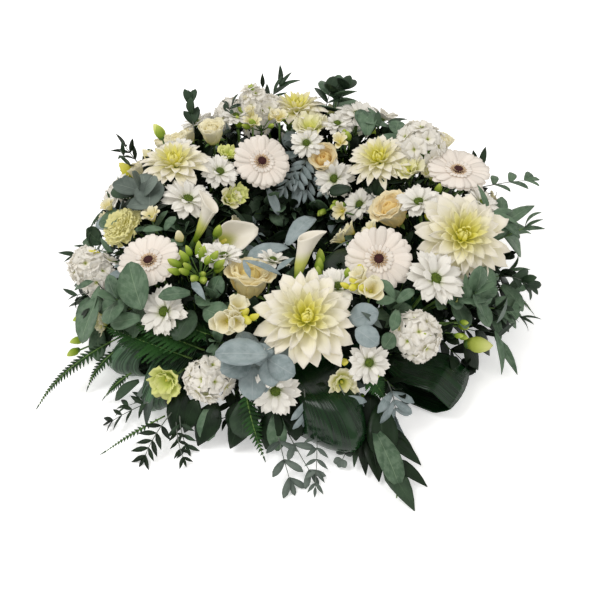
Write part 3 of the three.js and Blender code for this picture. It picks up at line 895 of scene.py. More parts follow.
# %% Gerbera
SPOON = [(0, 0.5), (0.25, 0.75), (0.6, 1), (0.85, 0.95), (0.96, 0.68), (1, 0.35)]
GERBERA_STRAP = 30
gerbera_strap = sheet(GERBERA_STRAP, 11.6, SPOON, lift=5, curl=-9, cup=-7, columns=3, rows=6, thickness=0.3)
gerbera_floret = sheet(5, 1.0, STRAP, lift=0, curl=-40, columns=1, rows=3, thickness=0.4)
gerbera_dome = ball([(-1, 0.5), (-0.5, 0.95), (0.2, 1.0), (0.7, 0.8), (1, 0.2)], sides=12, rows=6)


# Straps in each ring, their elevation and their share of the length.
GERBERA_RINGS = ((23, 2, 1.0), (22, 4.5, 0.96), (20, 11, 0.36))


def gerbera(bunch, head, size, rng):
    for ring, (count, elevation, scale) in enumerate(GERBERA_RINGS):
        for index in range(count):
            azimuth = 360 * (index + 0.5 * ring) / count + rng.uniform(-3, 3)
            length = (1.08 * size - 5) * scale * rng.uniform(0.95, 1.03)
            rise = elevation + rng.uniform(-2, 2)
            place = petal_place(azimuth, rise, 5, -2 + ring, length / GERBERA_STRAP, rng.uniform(1, 6))
            bunch.add(gerbera_strap, head @ place, "gerbera_petal", rng.random(), 1 - ring / 3)
    for index in range(72):
        inner = index % 2
        scale = rng.uniform(0.85, 1.1) * (1 - 0.25 * inner)
        out = 5.6 - 0.8 * inner
        place = petal_place(GOLDEN_ANGLE * index, 20 + 30 * inner, out, 1 + 1.2 * inner, scale)
        bunch.add(gerbera_floret, head @ place, "gerbera_fringe", rng.random(), 0.5)
    bunch.add(gerbera_dome, head @ sunk(-1.5, 6.2, 2.8), "gerbera_eye")
    for index in range(40):
        place = petal_place(GOLDEN_ANGLE * index, 62, 0.8 * math.sqrt(index), 3.2 - 0.03 * index, 0.42)
        bunch.add(gerbera_floret, head @ place, "gerbera_eye", rng.random(), 0.5)
    add_cup(bunch, head, 3, 8, 7)


# %% [markdown]
# ## Spray chrysanthemums
# Spray chrysanthemums are daisies with three loose rings of broad white petals, notched at the end, round
# a rough green button. Each ring stands a little steeper than the one outside it.

# %% Chrysanthemum
CHRYSANTHEMUM_PETAL = 22
chrysanthemum_petal = sheet(
    CHRYSANTHEMUM_PETAL, 10.6, SPOON, lift=14, curl=-26, cup=22, notch=1.8, thickness=0.4, rows=4,
)
chrysanthemum_button = ball([(-1, 0.6), (-0.4, 1.0), (0.3, 0.95), (0.8, 0.6), (1, 0.15)], sides=10, rows=6)
button_grain = ball([(-1, 0.5), (0, 1.0), (1, 0.4)], sides=5, rows=3)


# Petals in each ring, their elevation and their share of the length; and how domed the button is.
CHRYSANTHEMUM_RINGS = ((12, 0, 1.0), (10, 12, 0.93), (5, 30, 0.68))
BUTTON_RISE = 3.4
BUTTON_GRAINS = 40


def chrysanthemum(bunch, head, size, rng):
    for ring, (count, elevation, share) in enumerate(CHRYSANTHEMUM_RINGS):
        for index in range(count):
            azimuth = 360 * (index + 0.5 * ring) / count + rng.uniform(-7, 7)
            length = (1.1 * size - 3) * share * rng.uniform(0.86, 1.1)
            rise = elevation + rng.uniform(-9, 9)
            scale = length / CHRYSANTHEMUM_PETAL
            place = petal_place(azimuth, rise, 4.4, -3 + 1.2 * ring, scale, rng.uniform(-18, 18))
            bunch.add(chrysanthemum_petal, head @ place, "chrysanthemum_petal", rng.random(), 1 - ring / 3)
    button = 0.24 * size
    bunch.add(chrysanthemum_button, head @ sunk(0, button, BUTTON_RISE), "chrysanthemum_button")
    for index in range(BUTTON_GRAINS):
        angle = math.radians(GOLDEN_ANGLE * index)
        out = 0.95 * button * math.sqrt(index / BUTTON_GRAINS)
        rise = BUTTON_RISE - 2.6 * (out / button) ** 2
        spot = Matrix.Translation((out * MM * math.cos(angle), out * MM * math.sin(angle), rise * MM))
        grain = head @ spot @ Matrix.Scale(0.11 * button, 4)
        bunch.add(button_grain, grain, "chrysanthemum_button", rng.random())
    add_cup(bunch, head, 4, 5.5, 4)


# %% [markdown]
# ## Roses and lisianthus
# A rose is a nest of cups. Its inner petals stand upright and wrap closely round each other, and each ring
# outside leans out more and rolls back at its rim. A lisianthus is a looser cup with frilled edges.

# %% Rose and lisianthus
CUPPED = [(0, 0.35), (0.2, 0.78), (0.45, 1), (0.75, 1), (0.92, 0.78), (1, 0.5)]
rose_core = sheet(30, 26, CUPPED, lift=0, curl=24, power=1.5, cup=150, columns=6, rows=6)
rose_inner = sheet(32, 34, CUPPED, lift=-10, curl=28, power=1.2, cup=98, columns=6, rows=7)
rose_middle = sheet(33, 38, CUPPED, lift=-14, power=3, cup=72, ruffle=0.7, waves=1.5, columns=6, rows=8)
rose_outer = sheet(
    35, 42, CUPPED, lift=6, curl=-74, power=3.2, cup=52, ruffle=1.0, waves=1.5, notch=-2, columns=7, rows=9,
)
lisianthus_petal = sheet(
    26, 28, FAN, lift=4, curl=-40, power=2.2, cup=62, ruffle=1.8, waves=2.5, columns=7, rows=7,
)
# The head radius in millimetres that the petals are modelled for.
ROSE_SIZE = 25
LISIANTHUS_SIZE = 19
# Petal, count, elevation, distance from the axis, share of the length, and ring, from the middle outwards.
ROSE_RINGS = (
    (rose_core, 3, 90, 1.0, 0.98, 0.0), (rose_inner, 3, 88, 3.0, 1.0, 0.2),
    (rose_inner, 4, 86, 5.0, 1.0, 0.4), (rose_middle, 5, 84, 7.2, 1.0, 0.6),
    (rose_middle, 5, 80, 9.0, 0.98, 0.76), (rose_outer, 5, 80, 10.0, 0.95, 0.9),
    (rose_outer, 5, 70, 10.4, 0.93, 1.0),
)
# Elevation, distance from the axis, share of the length, and ring.
LISIANTHUS_RINGS = ((64, 1.8, 0.84, 0.4), (49, 3.0, 1.0, 1.0))


def rose(bunch, head, size, rng, finish="rose_petal", openness=1.0):
    """Openness 0 is a bud and 1 is a full flower."""
    spin = rng.uniform(0, 360)
    grown = size / ROSE_SIZE
    for petal, count, elevation, out, length, ring in ROSE_RINGS[: 5 + round(2 * openness)]:
        spin += 37
        for index in range(count):
            azimuth = spin + 360 * index / count + rng.uniform(-9, 9)
            lean = 90 - (90 - elevation) * (0.4 + 0.6 * openness) + rng.uniform(-3, 3)
            scale = grown * length * rng.uniform(0.95, 1.05)
            place = petal_place(azimuth, lean, out * grown, -31 * grown, scale, rng.uniform(-4, 4))
            bunch.add(petal, head @ place, finish, rng.random(), ring)
    for index in range(5):
        place = petal_place(72 * index + spin, -10, 0.2 * size, -1.22 * size, size / 16)
        bunch.add(SEPAL, head @ place, "stem_green", rng.random())
    add_cup(bunch, head, 1.2 * size, 0.36 * size, 0.3 * size)


def lisianthus(bunch, head, size, rng, finish="lisianthus_petal"):
    for elevation, out, length, ring in LISIANTHUS_RINGS:
        for index in range(5):
            azimuth = 360 * (index + ring) / 5 + rng.uniform(-12, 12)
            scale = size / LISIANTHUS_SIZE * length * rng.uniform(0.93, 1.07)
            rise = elevation + rng.uniform(-5, 5)
            place = petal_place(azimuth, rise, out, -1.15 * size, scale, rng.uniform(-8, 8))
            bunch.add(lisianthus_petal, head @ place, finish, rng.random(), ring)
    add_cup(bunch, head, 1.15 * size, 0.3 * size, 0.45 * size)
    foot = head @ Vector((0, 0, -size * MM))
    add_ball(bunch, BUD, foot, head.to_3x3() @ UP, 0.6 * size * MM, 0.14 * size * MM, "yellow_bud")


# %% [markdown]
# ## Carnation and stock
# A carnation is a dome of fans with crinkled edges. Stock is a short spike set all round with small
# double florets; each floret has two rings of ruffled petals and a yellow-green dot.

# %% Carnation and stock
carnation_fan = sheet(
    22, 21, FAN, curl=-36, cup=24, ruffle=1.5, waves=3.0, columns=9, rows=5, thickness=0.35,
)
stock_petal = sheet(
    14, 15.5, FAN, lift=12, curl=-30, cup=14, ruffle=0.9, waves=1.5, columns=5, rows=4, thickness=0.35,
)
CARNATION_SIZE = 23
CARNATION_FANS = 72
FLORET_SIZE = 14
# Petals in each ring of a floret, their elevation and their share of the length.
FLORET_RINGS = ((5, 6, 1.0), (4, 34, 0.7))


def carnation(bunch, head, size, rng):
    for index in range(CARNATION_FANS):
        share = index / (CARNATION_FANS - 1)
        azimuth = GOLDEN_ANGLE * index
        elevation = 88 - 78 * share**0.9 + rng.uniform(-7, 7)
        scale = size / CARNATION_SIZE * rng.uniform(0.86, 1.06)
        place = petal_place(azimuth, elevation, 1 + 4 * share, -0.75 * size, scale, rng.uniform(-15, 15))
        bunch.add(carnation_fan, head @ place, "carnation_petal", rng.random(), share)
    add_cup(bunch, head, 0.7 * size, 6, 16)


def stock_floret(bunch, place, size, rng):
    spin = rng.uniform(0, 360)
    for ring, (count, elevation, length) in enumerate(FLORET_RINGS):
        for index in range(count):
            azimuth = spin + 360 * (index + 0.4 * ring) / count + rng.uniform(-8, 8)
            rise = elevation + rng.uniform(-8, 8)
            scale = length * size / FLORET_SIZE
            foot = petal_place(azimuth, rise, 0.8, 0.6 * ring, scale, rng.uniform(-12, 12))
            bunch.add(stock_petal, place @ foot, "stock_petal", rng.random(), 1 - 0.3 * ring)
    way = place.to_3x3() @ UP
    add_ball(bunch, BUD, place.translation, way, 3.6 * MM, 0.9 * MM, "green_bud", rng.random())


def stock(bunch, head, size, rng, tall=1.0, floret=14.5):
    """Florets round an egg shape, with small green buds at its tip. Tall stretches the spike downwards,
    and floret is the size of one floret."""
    count = int((4 + 0.28 * size) * tall)
    for index in range(count):
        share = (index + 0.4) / count
        way = polar_way(math.acos(1 - 1.4 * share), math.radians(GOLDEN_ANGLE * index))
        low = (tall - 1) * 2.2 * size * share
        wide = 0.74 * size
        spot = Vector((way.x * wide, way.y * wide, (way.z * 0.66 - 0.5) * size - low)) * MM
        spot += jitter(rng, 2.5) * MM
        stock_floret(bunch, head @ along_axis(way, 0, spot), floret * rng.uniform(0.9, 1.1), rng)
    for index in range(int(9 * tall)):
        way = Vector((rng.uniform(-0.5, 0.5), rng.uniform(-0.5, 0.5), 1)).normalized()
        spot = way * (0.1 * size + rng.uniform(-3, 1)) * MM
        add_ball(bunch, BUD, head @ spot, head.to_3x3() @ way, 7 * MM, 2.3 * MM, "green_bud", rng.random())
    add_cup(bunch, head, 0.55 * size, 0.5 * size, 0.45 * size * tall)


# %% [markdown]
# ## Callas
# A calla is one leaf rolled into a funnel round a yellow finger. It overlaps itself at the front, its rim
# flares and rolls back, and the back of the rim runs out into a pointed tip. The grid that makes it is
# rolled by angle, and the rim's height depends on the angle.

# %% Calla


CALLA_WRAP = math.radians(400)  # more than a full turn, so that the spathe overlaps itself


def calla_shape(height, neck, mouth, drop, tip, flare):
    """Lengths in millimetres; the tip is on the +Y side, and drop is how much lower the front rim is.
    A low flare widens evenly from the neck, and a high one only near the rim."""
    bpy.ops.mesh.primitive_grid_add(x_subdivisions=30, y_subdivisions=14, size=1)
    item = bpy.context.object
    flat = coordinates(item)
    turn = flat[:, 0] * CALLA_WRAP
    share = flat[:, 1] + 0.5
    point = np.exp(-((np.degrees(turn) / 24) ** 2))
    rim_height = height - drop * (1 - np.cos(turn)) / 2
    rim_radius = mouth * (0.92 + 0.2 * np.cos(turn)) + tip * point
    opening = share**flare
    radius = neck * (0.4 + 0.6 * np.minimum(share * 2.5, 1)) + opening * (rim_radius - neck)
    radius += 0.9 * flat[:, 0]
    rise = rim_height * (share - 0.05 * share**10) + 0.15 * tip * point * share**6
    moved = np.stack([radius * np.sin(turn), radius * np.cos(turn), rise], axis=1)
    item.data.vertices.foreach_set("co", (moved * MM).ravel())
    thicken(item, 0.9)
    return Shape(item)


calla_funnel = calla_shape(66, 5.5, 12, 14, 10, 2.6)
calla_small = calla_shape(58, 5, 13, 12, 9, 3.6)
calla_open = calla_shape(58, 6, 20, 14, 13, 2.2)
calla_finger = rod([(0, 0, share * 36 * MM) for share in (0.2, 0.5, 0.8, 1)], 3.0 * MM, 1.8 * MM, sides=8)


def calla(bunch, stem, tip_way, shape, nod):
    """The tip of the rim points to tip_way; nod bends the axis towards another direction."""
    axis = (stem.along + Vector(nod)).normalized()
    side = square_to(axis, Vector(tip_way))
    head = aim(stem.face, side, axis) @ Matrix.Translation((0, 0, -62 * MM))
    bunch.add(shape, head, "calla_spathe", 0.7, 1.0)
    bunch.add(calla_finger, head, "yellow_bud", 0.6)
    add_rod(bunch, stem.foot - 4 * MM * stem.along, head.translation + 6 * MM * axis, 4 * MM)


# %% [markdown]
# ## Freesias
# A freesia's buds sit in two rows along the bent tip of its stem, small and green at the end, longer and
# paler towards the bend, where one or two have opened into six-petalled funnels.

# %% Freesia
FREESIA_SIZE = 24
freesia_petal = sheet(FREESIA_SIZE, 15, CUPPED, curl=-44, power=3, cup=62, columns=4, rows=6)


def freesia_bloom(bunch, foot, direction, size, rng):
    """Six petals in a funnel of the given length in millimetres."""
    base = along_axis(direction, rng.uniform(0, 60), foot)
    for index in range(6):
        outer = index % 2
        elevation = 84 - 8 * outer + rng.uniform(-4, 4)
        place = petal_place(60 * index, elevation, 0.8, 0, size / FREESIA_SIZE * (1 - 0.05 * outer))
        bunch.add(freesia_petal, base @ place, "freesia_petal", rng.random(), 0.5 + 0.5 * outer)
    add_ball(bunch, BUD, foot, direction, 0.45 * size * MM, 0.13 * size * MM, "yellow_bud", rng.random())


def freesia(bunch, head, size, rng, arch, blooms, buds, bud_finish):
    """The arch is how far the tip leans along +X; the size is the longest bud."""
    turn = head.to_3x3()
    reach = turn @ Vector((arch * MM, 0, 0))
    ahead = turn @ UP
    across = turn @ Vector((0, 1, 0))
    start = head.translation - 0.75 * reach.length * ahead
    bend = start + 0.7 * reach.length * ahead
    shares = [step / 6 for step in range(7)]
    route = [start.lerp(bend, share).lerp(bend + reach, share**1.3) for share in shares]
    bunch.add(rod(route, 1.3 * MM, 0.8 * MM, sides=5), Matrix(), "stem_green")
    for index in range(buds):
        share = index / (buds - 1)
        spot = share * 5
        point = route[int(spot)].lerp(route[int(spot) + 1], spot % 1)
        side = across * (1 if index % 2 else -1)
        way = reach.normalized() * (0.25 + 0.7 * share) + ahead * (1.0 - 0.25 * share) + side * 0.45
        way.normalize()
        length = size * (1 - 0.55 * share) * rng.uniform(0.9, 1.1)
        if index < blooms:
            freesia_bloom(bunch, point, way, length * 1.15, rng)
        else:
            add_freesia_bud(bunch, point, way, length, bud_finish, rng, share)


def add_freesia_bud(bunch, foot, way, length, finish, rng, ring):
    tone = rng.random()
    spin = rng.uniform(0, 360)
    add_ball(bunch, BUD, foot, way, length * MM, length * 0.26 * MM, finish, tone, spin, ring)
    add_ball(bunch, CALYX, foot + way * 2 * MM, way, 2.6 * MM, length * 0.13 * MM, "stem_green")


def bud_cluster(bunch, head, size, rng, blooms, buds, bud_finish):
    """Buds on thin stems that spread from one point of the stalk, in a rough dome."""
    foot = head @ Vector((0, 0, -34 * MM))
    for index in range(buds + blooms):
        polar = math.radians(12 + 44 * math.sqrt((index + 0.5) / (buds + blooms)))
        around = math.radians(GOLDEN_ANGLE * index + rng.uniform(-20, 20))
        way = (head.to_3x3() @ polar_way(polar, around)).normalized()
        length = size * rng.uniform(0.75, 1.15)
        tip = foot + rng.uniform(20, 30) * MM * way
        add_rod(bunch, foot, tip, 0.7 * MM)
        if index < blooms:
            freesia_bloom(bunch, tip, way, length * 1.3, rng)
        else:
            add_freesia_bud(bunch, tip - 2 * MM * way, way, length, bud_finish, rng, rng.random())


print("flower builders ready")

# %% [markdown]
# ## Dress the CAD flowers
# Each flower in the CAD model gets its own piece on the same stem, with the same size. The piece stands for
# the CAD solid, which stays for collisions. Random values come from a generator seeded by the piece's name,
# so each flower differs a little and every run is the same.

# %% Flowers in the CAD model
BUILDERS = {
    "dahlia": dahlia, "gerbera": gerbera, "rose": rose, "carnation": carnation,
    "stock": stock, "chrysanthemum": chrysanthemum, "lisianthus": lisianthus, "calla": calla,
}
# How far below the face each stalk ends.
STALK_DEPTH = {
    "dahlia": 12, "gerbera": 6, "rose": 30, "carnation": 20, "stock": 14, "chrysanthemum": 6,
    "lisianthus": 20,
}
# Where each calla's tip points, its shape, and how it nods.
CALLA_LOOKS = {
    "calla_left": ((-0.6, 0.8, 0.3), calla_small, (0.05, 0.4, 0)),
    "calla_middle": ((0.95, 0.3, 0.2), calla_open, (0.1, -0.75, 0)),
    "calla_front": ((0.9, 0.5, 0), calla_funnel, (0, 0.15, 0)),
}
# Each rose's finish, how open it is, and its size against the CAD solid.
ROSE_LOOKS = {
    "rose_right": ("rose_petal", 0.8, 1.0),
    "rose_back": ("rose_petal", 0.6, 1.15),
    "rose_front": ("yellow_rose_petal", 0.9, 1.0),
    "rose_back_left_high": ("cream_rose_petal", 0.6, 1.1),
    "rose_back_left_low": ("cream_rose_petal", 0.5, 1.15),
}
# The spike at the back left is slimmer and taller than the others: its girth, height and florets.
SLIM_STOCK = (0.72, 2.4, 11.5)
# Heavy heads nod away from their stems, towards a direction of the wreath's frame.
NODS = {
    "gerbera_front_right": (0.1, -0.75, 0), "gerbera_right": (-0.27, -0.1, 0), "gerbera_left": (0.15, 0, 0),
    "dahlia_right": (-0.2, -0.35, 0), "dahlia_front": (0, -0.05, 0),
}
flowers = [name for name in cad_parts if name.split("_")[0] in BUILDERS]
heads = []
for name in flowers:
    kind = name.split("_")[0]
    rng = random.Random(name)
    stem = stem_of(name, kind)
    heads.append(stem)
    head = head_frame(stem, rng.uniform(0, 360), nod=NODS.get(name, (0, 0, 0)))
    size = stem.radius / MM
    bunch = Bunch()
    if kind == "calla":
        calla(bunch, stem, *CALLA_LOOKS[name])
    elif kind == "rose":
        finish, openness, swell = ROSE_LOOKS[name]
        rose(bunch, head, size * swell, rng, finish, openness)
    elif name == "stock_back_left":
        girth, tall, floret = SLIM_STOCK
        stock(bunch, head, girth * size, rng, tall, floret)
    else:
        BUILDERS[kind](bunch, head, size, rng)
    if kind != "calla":
        add_stalk(bunch, stem, STALK_DEPTH[kind], 2.2)
    make_piece(name + "_bloom", bunch, kind, name)
print("flowers dressed:", len(flowers))

# %% [markdown]
# ## Dress the freesias
# A freesia has no round head, so its spray is placed by the numbers of its CAD stem. Two sprays arch along
# the ring with open flowers at the bend. The other two stand up as bunches of buds on thin stems.

# %% Freesias in the CAD model
# The clock, lean and reach of each spray, how far its tip arches, its blooms, its buds, their length and
# their finish.
FREESIAS = {
    "freesia_left": (226, 88, 120, 0, 0, 18, 19, "green_bud"),
    "freesia_front": (247, 66, 122, 38, 3, 6, 33, "yellow_bud"),
    "freesia_front_right": (297, 84, 121, -34, 2, 6, 30, "yellow_bud"),
    "freesia_back": (108, 88, 126, 0, 3, 7, 17, "green_bud"),
}
for name, (clock, lean, reach, arch, blooms, buds, length, finish) in FREESIAS.items():
    rng = random.Random(name)
    stem = stem_at(clock, lean, reach)
    ahead = stem.along
    side = square_to(ahead, tangent(clock)).normalized()
    turn = Matrix((side, ahead.cross(side), ahead)).transposed().to_4x4()
    head = Matrix.Translation(stem.face) @ turn
    bunch = Bunch()
    if arch:
        freesia(bunch, head, length, rng, arch, blooms, buds, finish)
    else:
        bud_cluster(bunch, head, length, rng, blooms, buds, finish)
    add_stalk(bunch, stem, 25, 1.6)
    make_piece(name + "_spray", bunch, "freesia", name)
print("freesias dressed:", len(FREESIAS))

# %% [markdown]
# ## Smaller flowers in the gaps
# Between the big flowers stand smaller ones: spray chrysanthemums, lisianthus cups, short stock spikes,
# rosebuds, closed buds and half-open flowers. They are placed like the CAD stems, by clock, lean and reach.
# The back slope gets more of them by chance, wherever there is still room between the heads.

# %% Smaller flowers
taken = [(stem.face, stem.radius) for stem in heads]  # the room that the heads take up


def closed_bud(bunch, head, size, rng, finish="green_bud"):
    """A lisianthus or chrysanthemum bud: a few petals folded over each other in a green cup."""
    foot = head @ Vector((0, 0, -1.5 * size * MM))
    length, radius = 2.3 * size * MM, 0.72 * size * MM
    add_ball(bunch, BUD, foot, head.to_3x3() @ UP, length, radius, finish, rng.random(), 0, 0.6)
    for index in range(3):
        place = petal_place(120 * index, 88 + rng.uniform(-3, 3), 0.46 * size, -1.4 * size, size / 15)
        bunch.add(rose_core, head @ place, finish, rng.random(), 0.5 + 0.1 * index)
    add_cup(bunch, head, 1.3 * size, 0.5 * size, 0.5 * size)


def petals_only(bunch, head, size, rng):
    """A flower seen from the side, with its petals half closed."""
    for index in range(7):
        azimuth = 51 * index + rng.uniform(-9, 9)
        elevation = 58 + rng.uniform(-12, 12)
        place = petal_place(azimuth, elevation, 1.5, -0.7 * size, size / 22)
        bunch.add(freesia_petal, head @ place, "freesia_petal", rng.random(), 0.8)
    bunch.add(BUD, head @ sunk(0.8 * size, 2, 9), "yellow_bud")


# Each kind's builder, its material slot, how far below the face its stalk ends, and the builder's options.
SMALL_KINDS = {
    "chrysanthemum": (chrysanthemum, "chrysanthemum", 6, {}),
    "lisianthus": (lisianthus, "lisianthus", 18, {}),
    "green_lisianthus": (lisianthus, "lisianthus", 18, {"finish": "green_lisianthus_petal"}),
    "stock": (stock, "stock", 10, {}),
    "rose_bud": (rose, "rose", 22, {"finish": "cream_rose_petal", "openness": 0.2}),
    "white_bud": (closed_bud, "lisianthus", 12, {"finish": "freesia_petal"}),
    "green_bud": (closed_bud, "lisianthus", 12, {}),
    "yellow_bud": (closed_bud, "freesia", 12, {"finish": "yellow_bud"}),
    "pale_bud": (closed_bud, "lisianthus", 14, {"finish": "green_lisianthus_petal"}),
    "half_open": (petals_only, "freesia", 12, {}),
}
# A kind, and the clock, lean, reach and radius of each flower of it.
SMALL_FLOWERS = [
    ("chrysanthemum", [(8, 47, 104, 23), (29, 139, 98, 20), (252, 122, 112, 19), (72, 92, 110, 19),
        (147, 78, 108, 20), (61, 52, 108, 22)]),
    ("lisianthus", [(45, 104, 114, 15), (20, 81, 106, 15)]),
    ("green_lisianthus", [(134, 106, 112, 11), (236, 14, 116, 18), (150, 132, 108, 11),
        (322, 55, 106, 11)]),
    ("lisianthus", [(209, 16, 116, 12), (157, 130, 105, 12)]),
    ("half_open", [(191, 80, 114, 16), (179, 52, 119, 13), (66, 108, 116, 15), (355, 148, 118, 14),
        (337, 127, 114, 15)]),
    ("rose_bud", [(30, 66, 128, 12)]),
    ("white_bud", [(208, 91, 115, 8)]),
    ("green_bud", [(150, 72, 140, 8), (316, 30, 104, 5), (319, 35, 106, 5), (205, 0, 124, 6),
        (203, 7, 128, 6)]),
    ("yellow_bud", [(193, 37, 116, 9), (160, 50, 118, 11), (282, 43, 104, 6)]),
    ("green_bud", [(287, 4, 84, 7), (290, 30, 98, 7), (46, 150, 116, 6), (40, 146, 112, 5),
        (51, 148, 106, 5), (63, 103, 117, 7), (66, 100, 113, 6), (118, 84, 114, 8), (206, 118, 112, 8),
        (222, 118, 104, 8)]),
    ("yellow_bud", [(350, 92, 108, 8)]),
    ("green_bud", [(8, 84, 106, 7)]),
    ("yellow_bud", [(297, 96, 116, 8)]),
    ("green_bud", [(291, 96, 117, 6)]),
    ("chrysanthemum", [(230, 103, 112, 20)]),
    ("half_open", [(25, 147, 126, 14), (338, 150, 126, 15), (189, 135, 113, 13)]),
    ("rose_bud", [(158, 52, 112, 17)]),
    ("green_bud", [(282, 118, 112, 8), (284, 121, 120, 8), (280, 113, 106, 7)]),
    ("rose_bud", [(39, 42, 122, 14)]),
    ("green_bud", [(60, 157, 112, 6), (66, 160, 104, 6)]),
    ("pale_bud", [(139, 46, 126, 10)]),
    ("green_bud", [(322, 26, 90, 6), (320, 21, 92, 6)]),
    ("pale_bud", [(322, 14, 110, 14)]),
    ("green_bud", [(207, 1, 138, 7), (208, -4, 146, 7)]),
    ("lisianthus", [(208, 10, 112, 12)]),
    ("chrysanthemum", [(1, 58, 114, 21)]),
    ("stock", [(195, 29, 124, 20)]),
    ("chrysanthemum", [(118, 82, 118, 18)]),
    ("half_open", [(100, 94, 122, 15), (113, 92, 118, 15)]),
    ("stock", [(116, 66, 118, 19), (103, 74, 116, 18)]),
    ("rose_bud", [(143, 58, 114, 17), (134, 60, 108, 14)]),
    ("chrysanthemum", [(128, 56, 112, 19)]),
]
small = {}
rng = random.Random("small flowers")


def add_small_flower(kind, clock, lean, reach, size):
    """Adds a flower to the bunch of its kind, and notes the room that it takes up."""
    build, slot, below, options = SMALL_KINDS[kind]
    stem = stem_at(clock, lean, reach, size)
    head = head_frame(stem, rng.uniform(0, 360), (rng.uniform(-10, 10), rng.uniform(-10, 10)))
    bunch = small.setdefault(kind, (slot, Bunch()))[1]
    build(bunch, head, size, rng, **options)
    add_stalk(bunch, stem, below, 1.4)
    taken.append((head.translation.copy(), stem.radius))


for kind, plans in SMALL_FLOWERS:
    for plan in plans:
        add_small_flower(kind, *plan)
placed = len(taken) - len(heads)
CHANCE = 3 * ["chrysanthemum"] + ["lisianthus", "stock", "green_bud", "half_open", "white_bud"]
CHANCE_SIZES = {
    "chrysanthemum": 22, "lisianthus": 16, "stock": 24, "green_bud": 8, "half_open": 15, "white_bud": 9,
}
for clock in range(16, 168, 7):
    for lean in (4, 24, 44, 62):
        kind = rng.choice(CHANCE)
        turn = clock + rng.uniform(-3, 3)
        tilt = lean + rng.uniform(-6, 6)
        reach = rng.uniform(100, 112)
        spot = ring_point(turn, tilt, reach)
        room = min((spot - other).length - radius for other, radius in taken)
        if room > 0.75 * CHANCE_SIZES[kind] * MM:
            add_small_flower(kind, turn, tilt, reach, CHANCE_SIZES[kind])
for kind, (slot, bunch) in small.items():
    make_piece(f"small_{kind}_flowers", bunch, slot)
print("small flowers:", placed, "placed and", len(taken) - len(heads) - placed, "by chance")

# %% [markdown]
# ## Leaves
# Leaves are sheets as petals are, but flatter, most with a fold along the midrib. Each kind has its own
# outline: round eucalyptus, willowy eucalyptus, the tiny leaflets of pistache, broad dark leaves, and the
# toothed leaflets of a fern. A sprig or a frond sets its leaves along a curved stem.

# %% Leaf shapes
LEAF = 40  # the modelled length of every leaf, in millimetres
PINNA = 30  # and of a fern's leaflet
TEETH = [(k / 14, (1.05 - 0.064 * k) * (1 if k % 2 else 0.55)) for k in range(1, 14)]
TOOTHED = [(0, 0.6), *TEETH, (1, 0.05)]
round_leaf = sheet(LEAF, 34, ROUND, lift=6, curl=-14, cup=16, columns=6, rows=7)
round_leaf_cupped = sheet(LEAF, 36, ROUND, lift=14, curl=-34, cup=-14, columns=6, rows=7)
lance_leaf = sheet(LEAF, 11, LANCE, lift=8, curl=-24, fold=0.25, rows=6, thickness=0.4)
lance_leaf_bent = sheet(LEAF, 12, LANCE, lift=14, curl=-62, fold=0.2, rows=7, thickness=0.4)
oval_leaf = sheet(LEAF, 20, OVAL, lift=10, curl=-30, fold=0.18, rows=6, thickness=0.4)
small_leaf = sheet(LEAF, 14, OVAL, lift=10, curl=-20, fold=0.2, columns=2, thickness=0.6)
narrow_leaf = sheet(LEAF, 12, LANCE, lift=10, curl=-20, fold=0.2, columns=2, thickness=0.6)
broad_leaf = sheet(LEAF, 23, LANCE, lift=8, curl=-34, cup=-16, columns=6, rows=7, thickness=0.4)
fern_pinna = sheet(PINNA, 10.5, TOOTHED, lift=6, curl=-22, fold=0.15, columns=2, rows=14, thickness=0.35)


def arch(foot, bend, tip, steps):
    """Points along a smooth curve from a foot to a tip, drawn towards a bend."""
    shares = [step / steps for step in range(steps + 1)]
    return [foot.lerp(bend, share).lerp(bend.lerp(tip, share), share) for share in shares]


STRAIGHT_SHARE = 0.55  # how far out a sprig's stem runs straight


def sprig_route(clock, lean, length, sweep=0, droop=0, steps=10):
    """A curved stem from the foam outwards. The tip sweeps along the ring and droops, in millimetres."""
    along = outward(clock, lean)
    foot = core_point(clock) + STEM_FOOT * along
    bend = core_point(clock) + STRAIGHT_SHARE * length * MM * along
    tip = core_point(clock) + length * MM * along + sweep * MM * tangent(clock) - droop * MM * UP
    return arch(foot, bend, tip, steps)


def bridge_route(first, last, bow, steps):
    """A stem from one (clock, lean, reach) to another, in an arch that is bow millimetres high."""
    foot, tip = ring_point(*first), ring_point(*last)
    middle = (foot + tip) / 2 + 2 * bow * MM * (UP + radial(first[0])).normalized()
    return arch(foot, middle, tip, steps)


def leaf_between(bunch, shape, first, last, finish, rng, wide):
    """A single leaf from one (clock, lean, reach) to another."""
    foot, tip = ring_point(*first), ring_point(*last)
    place = aim(foot, tip - foot, UP, (tip - foot).length / (LEAF * MM))
    bunch.add(shape, place @ Matrix.Diagonal((wide, 1, 1, 1)), finish, rng.random())


def on_route(route, share):
    """The point at a share of a route, and the way the route runs there."""
    spot = min(max(share, 0), 0.999) * (len(route) - 1)
    index = int(spot)
    here, there = route[index], route[index + 1]
    return here.lerp(there, spot - index), (there - here).normalized()


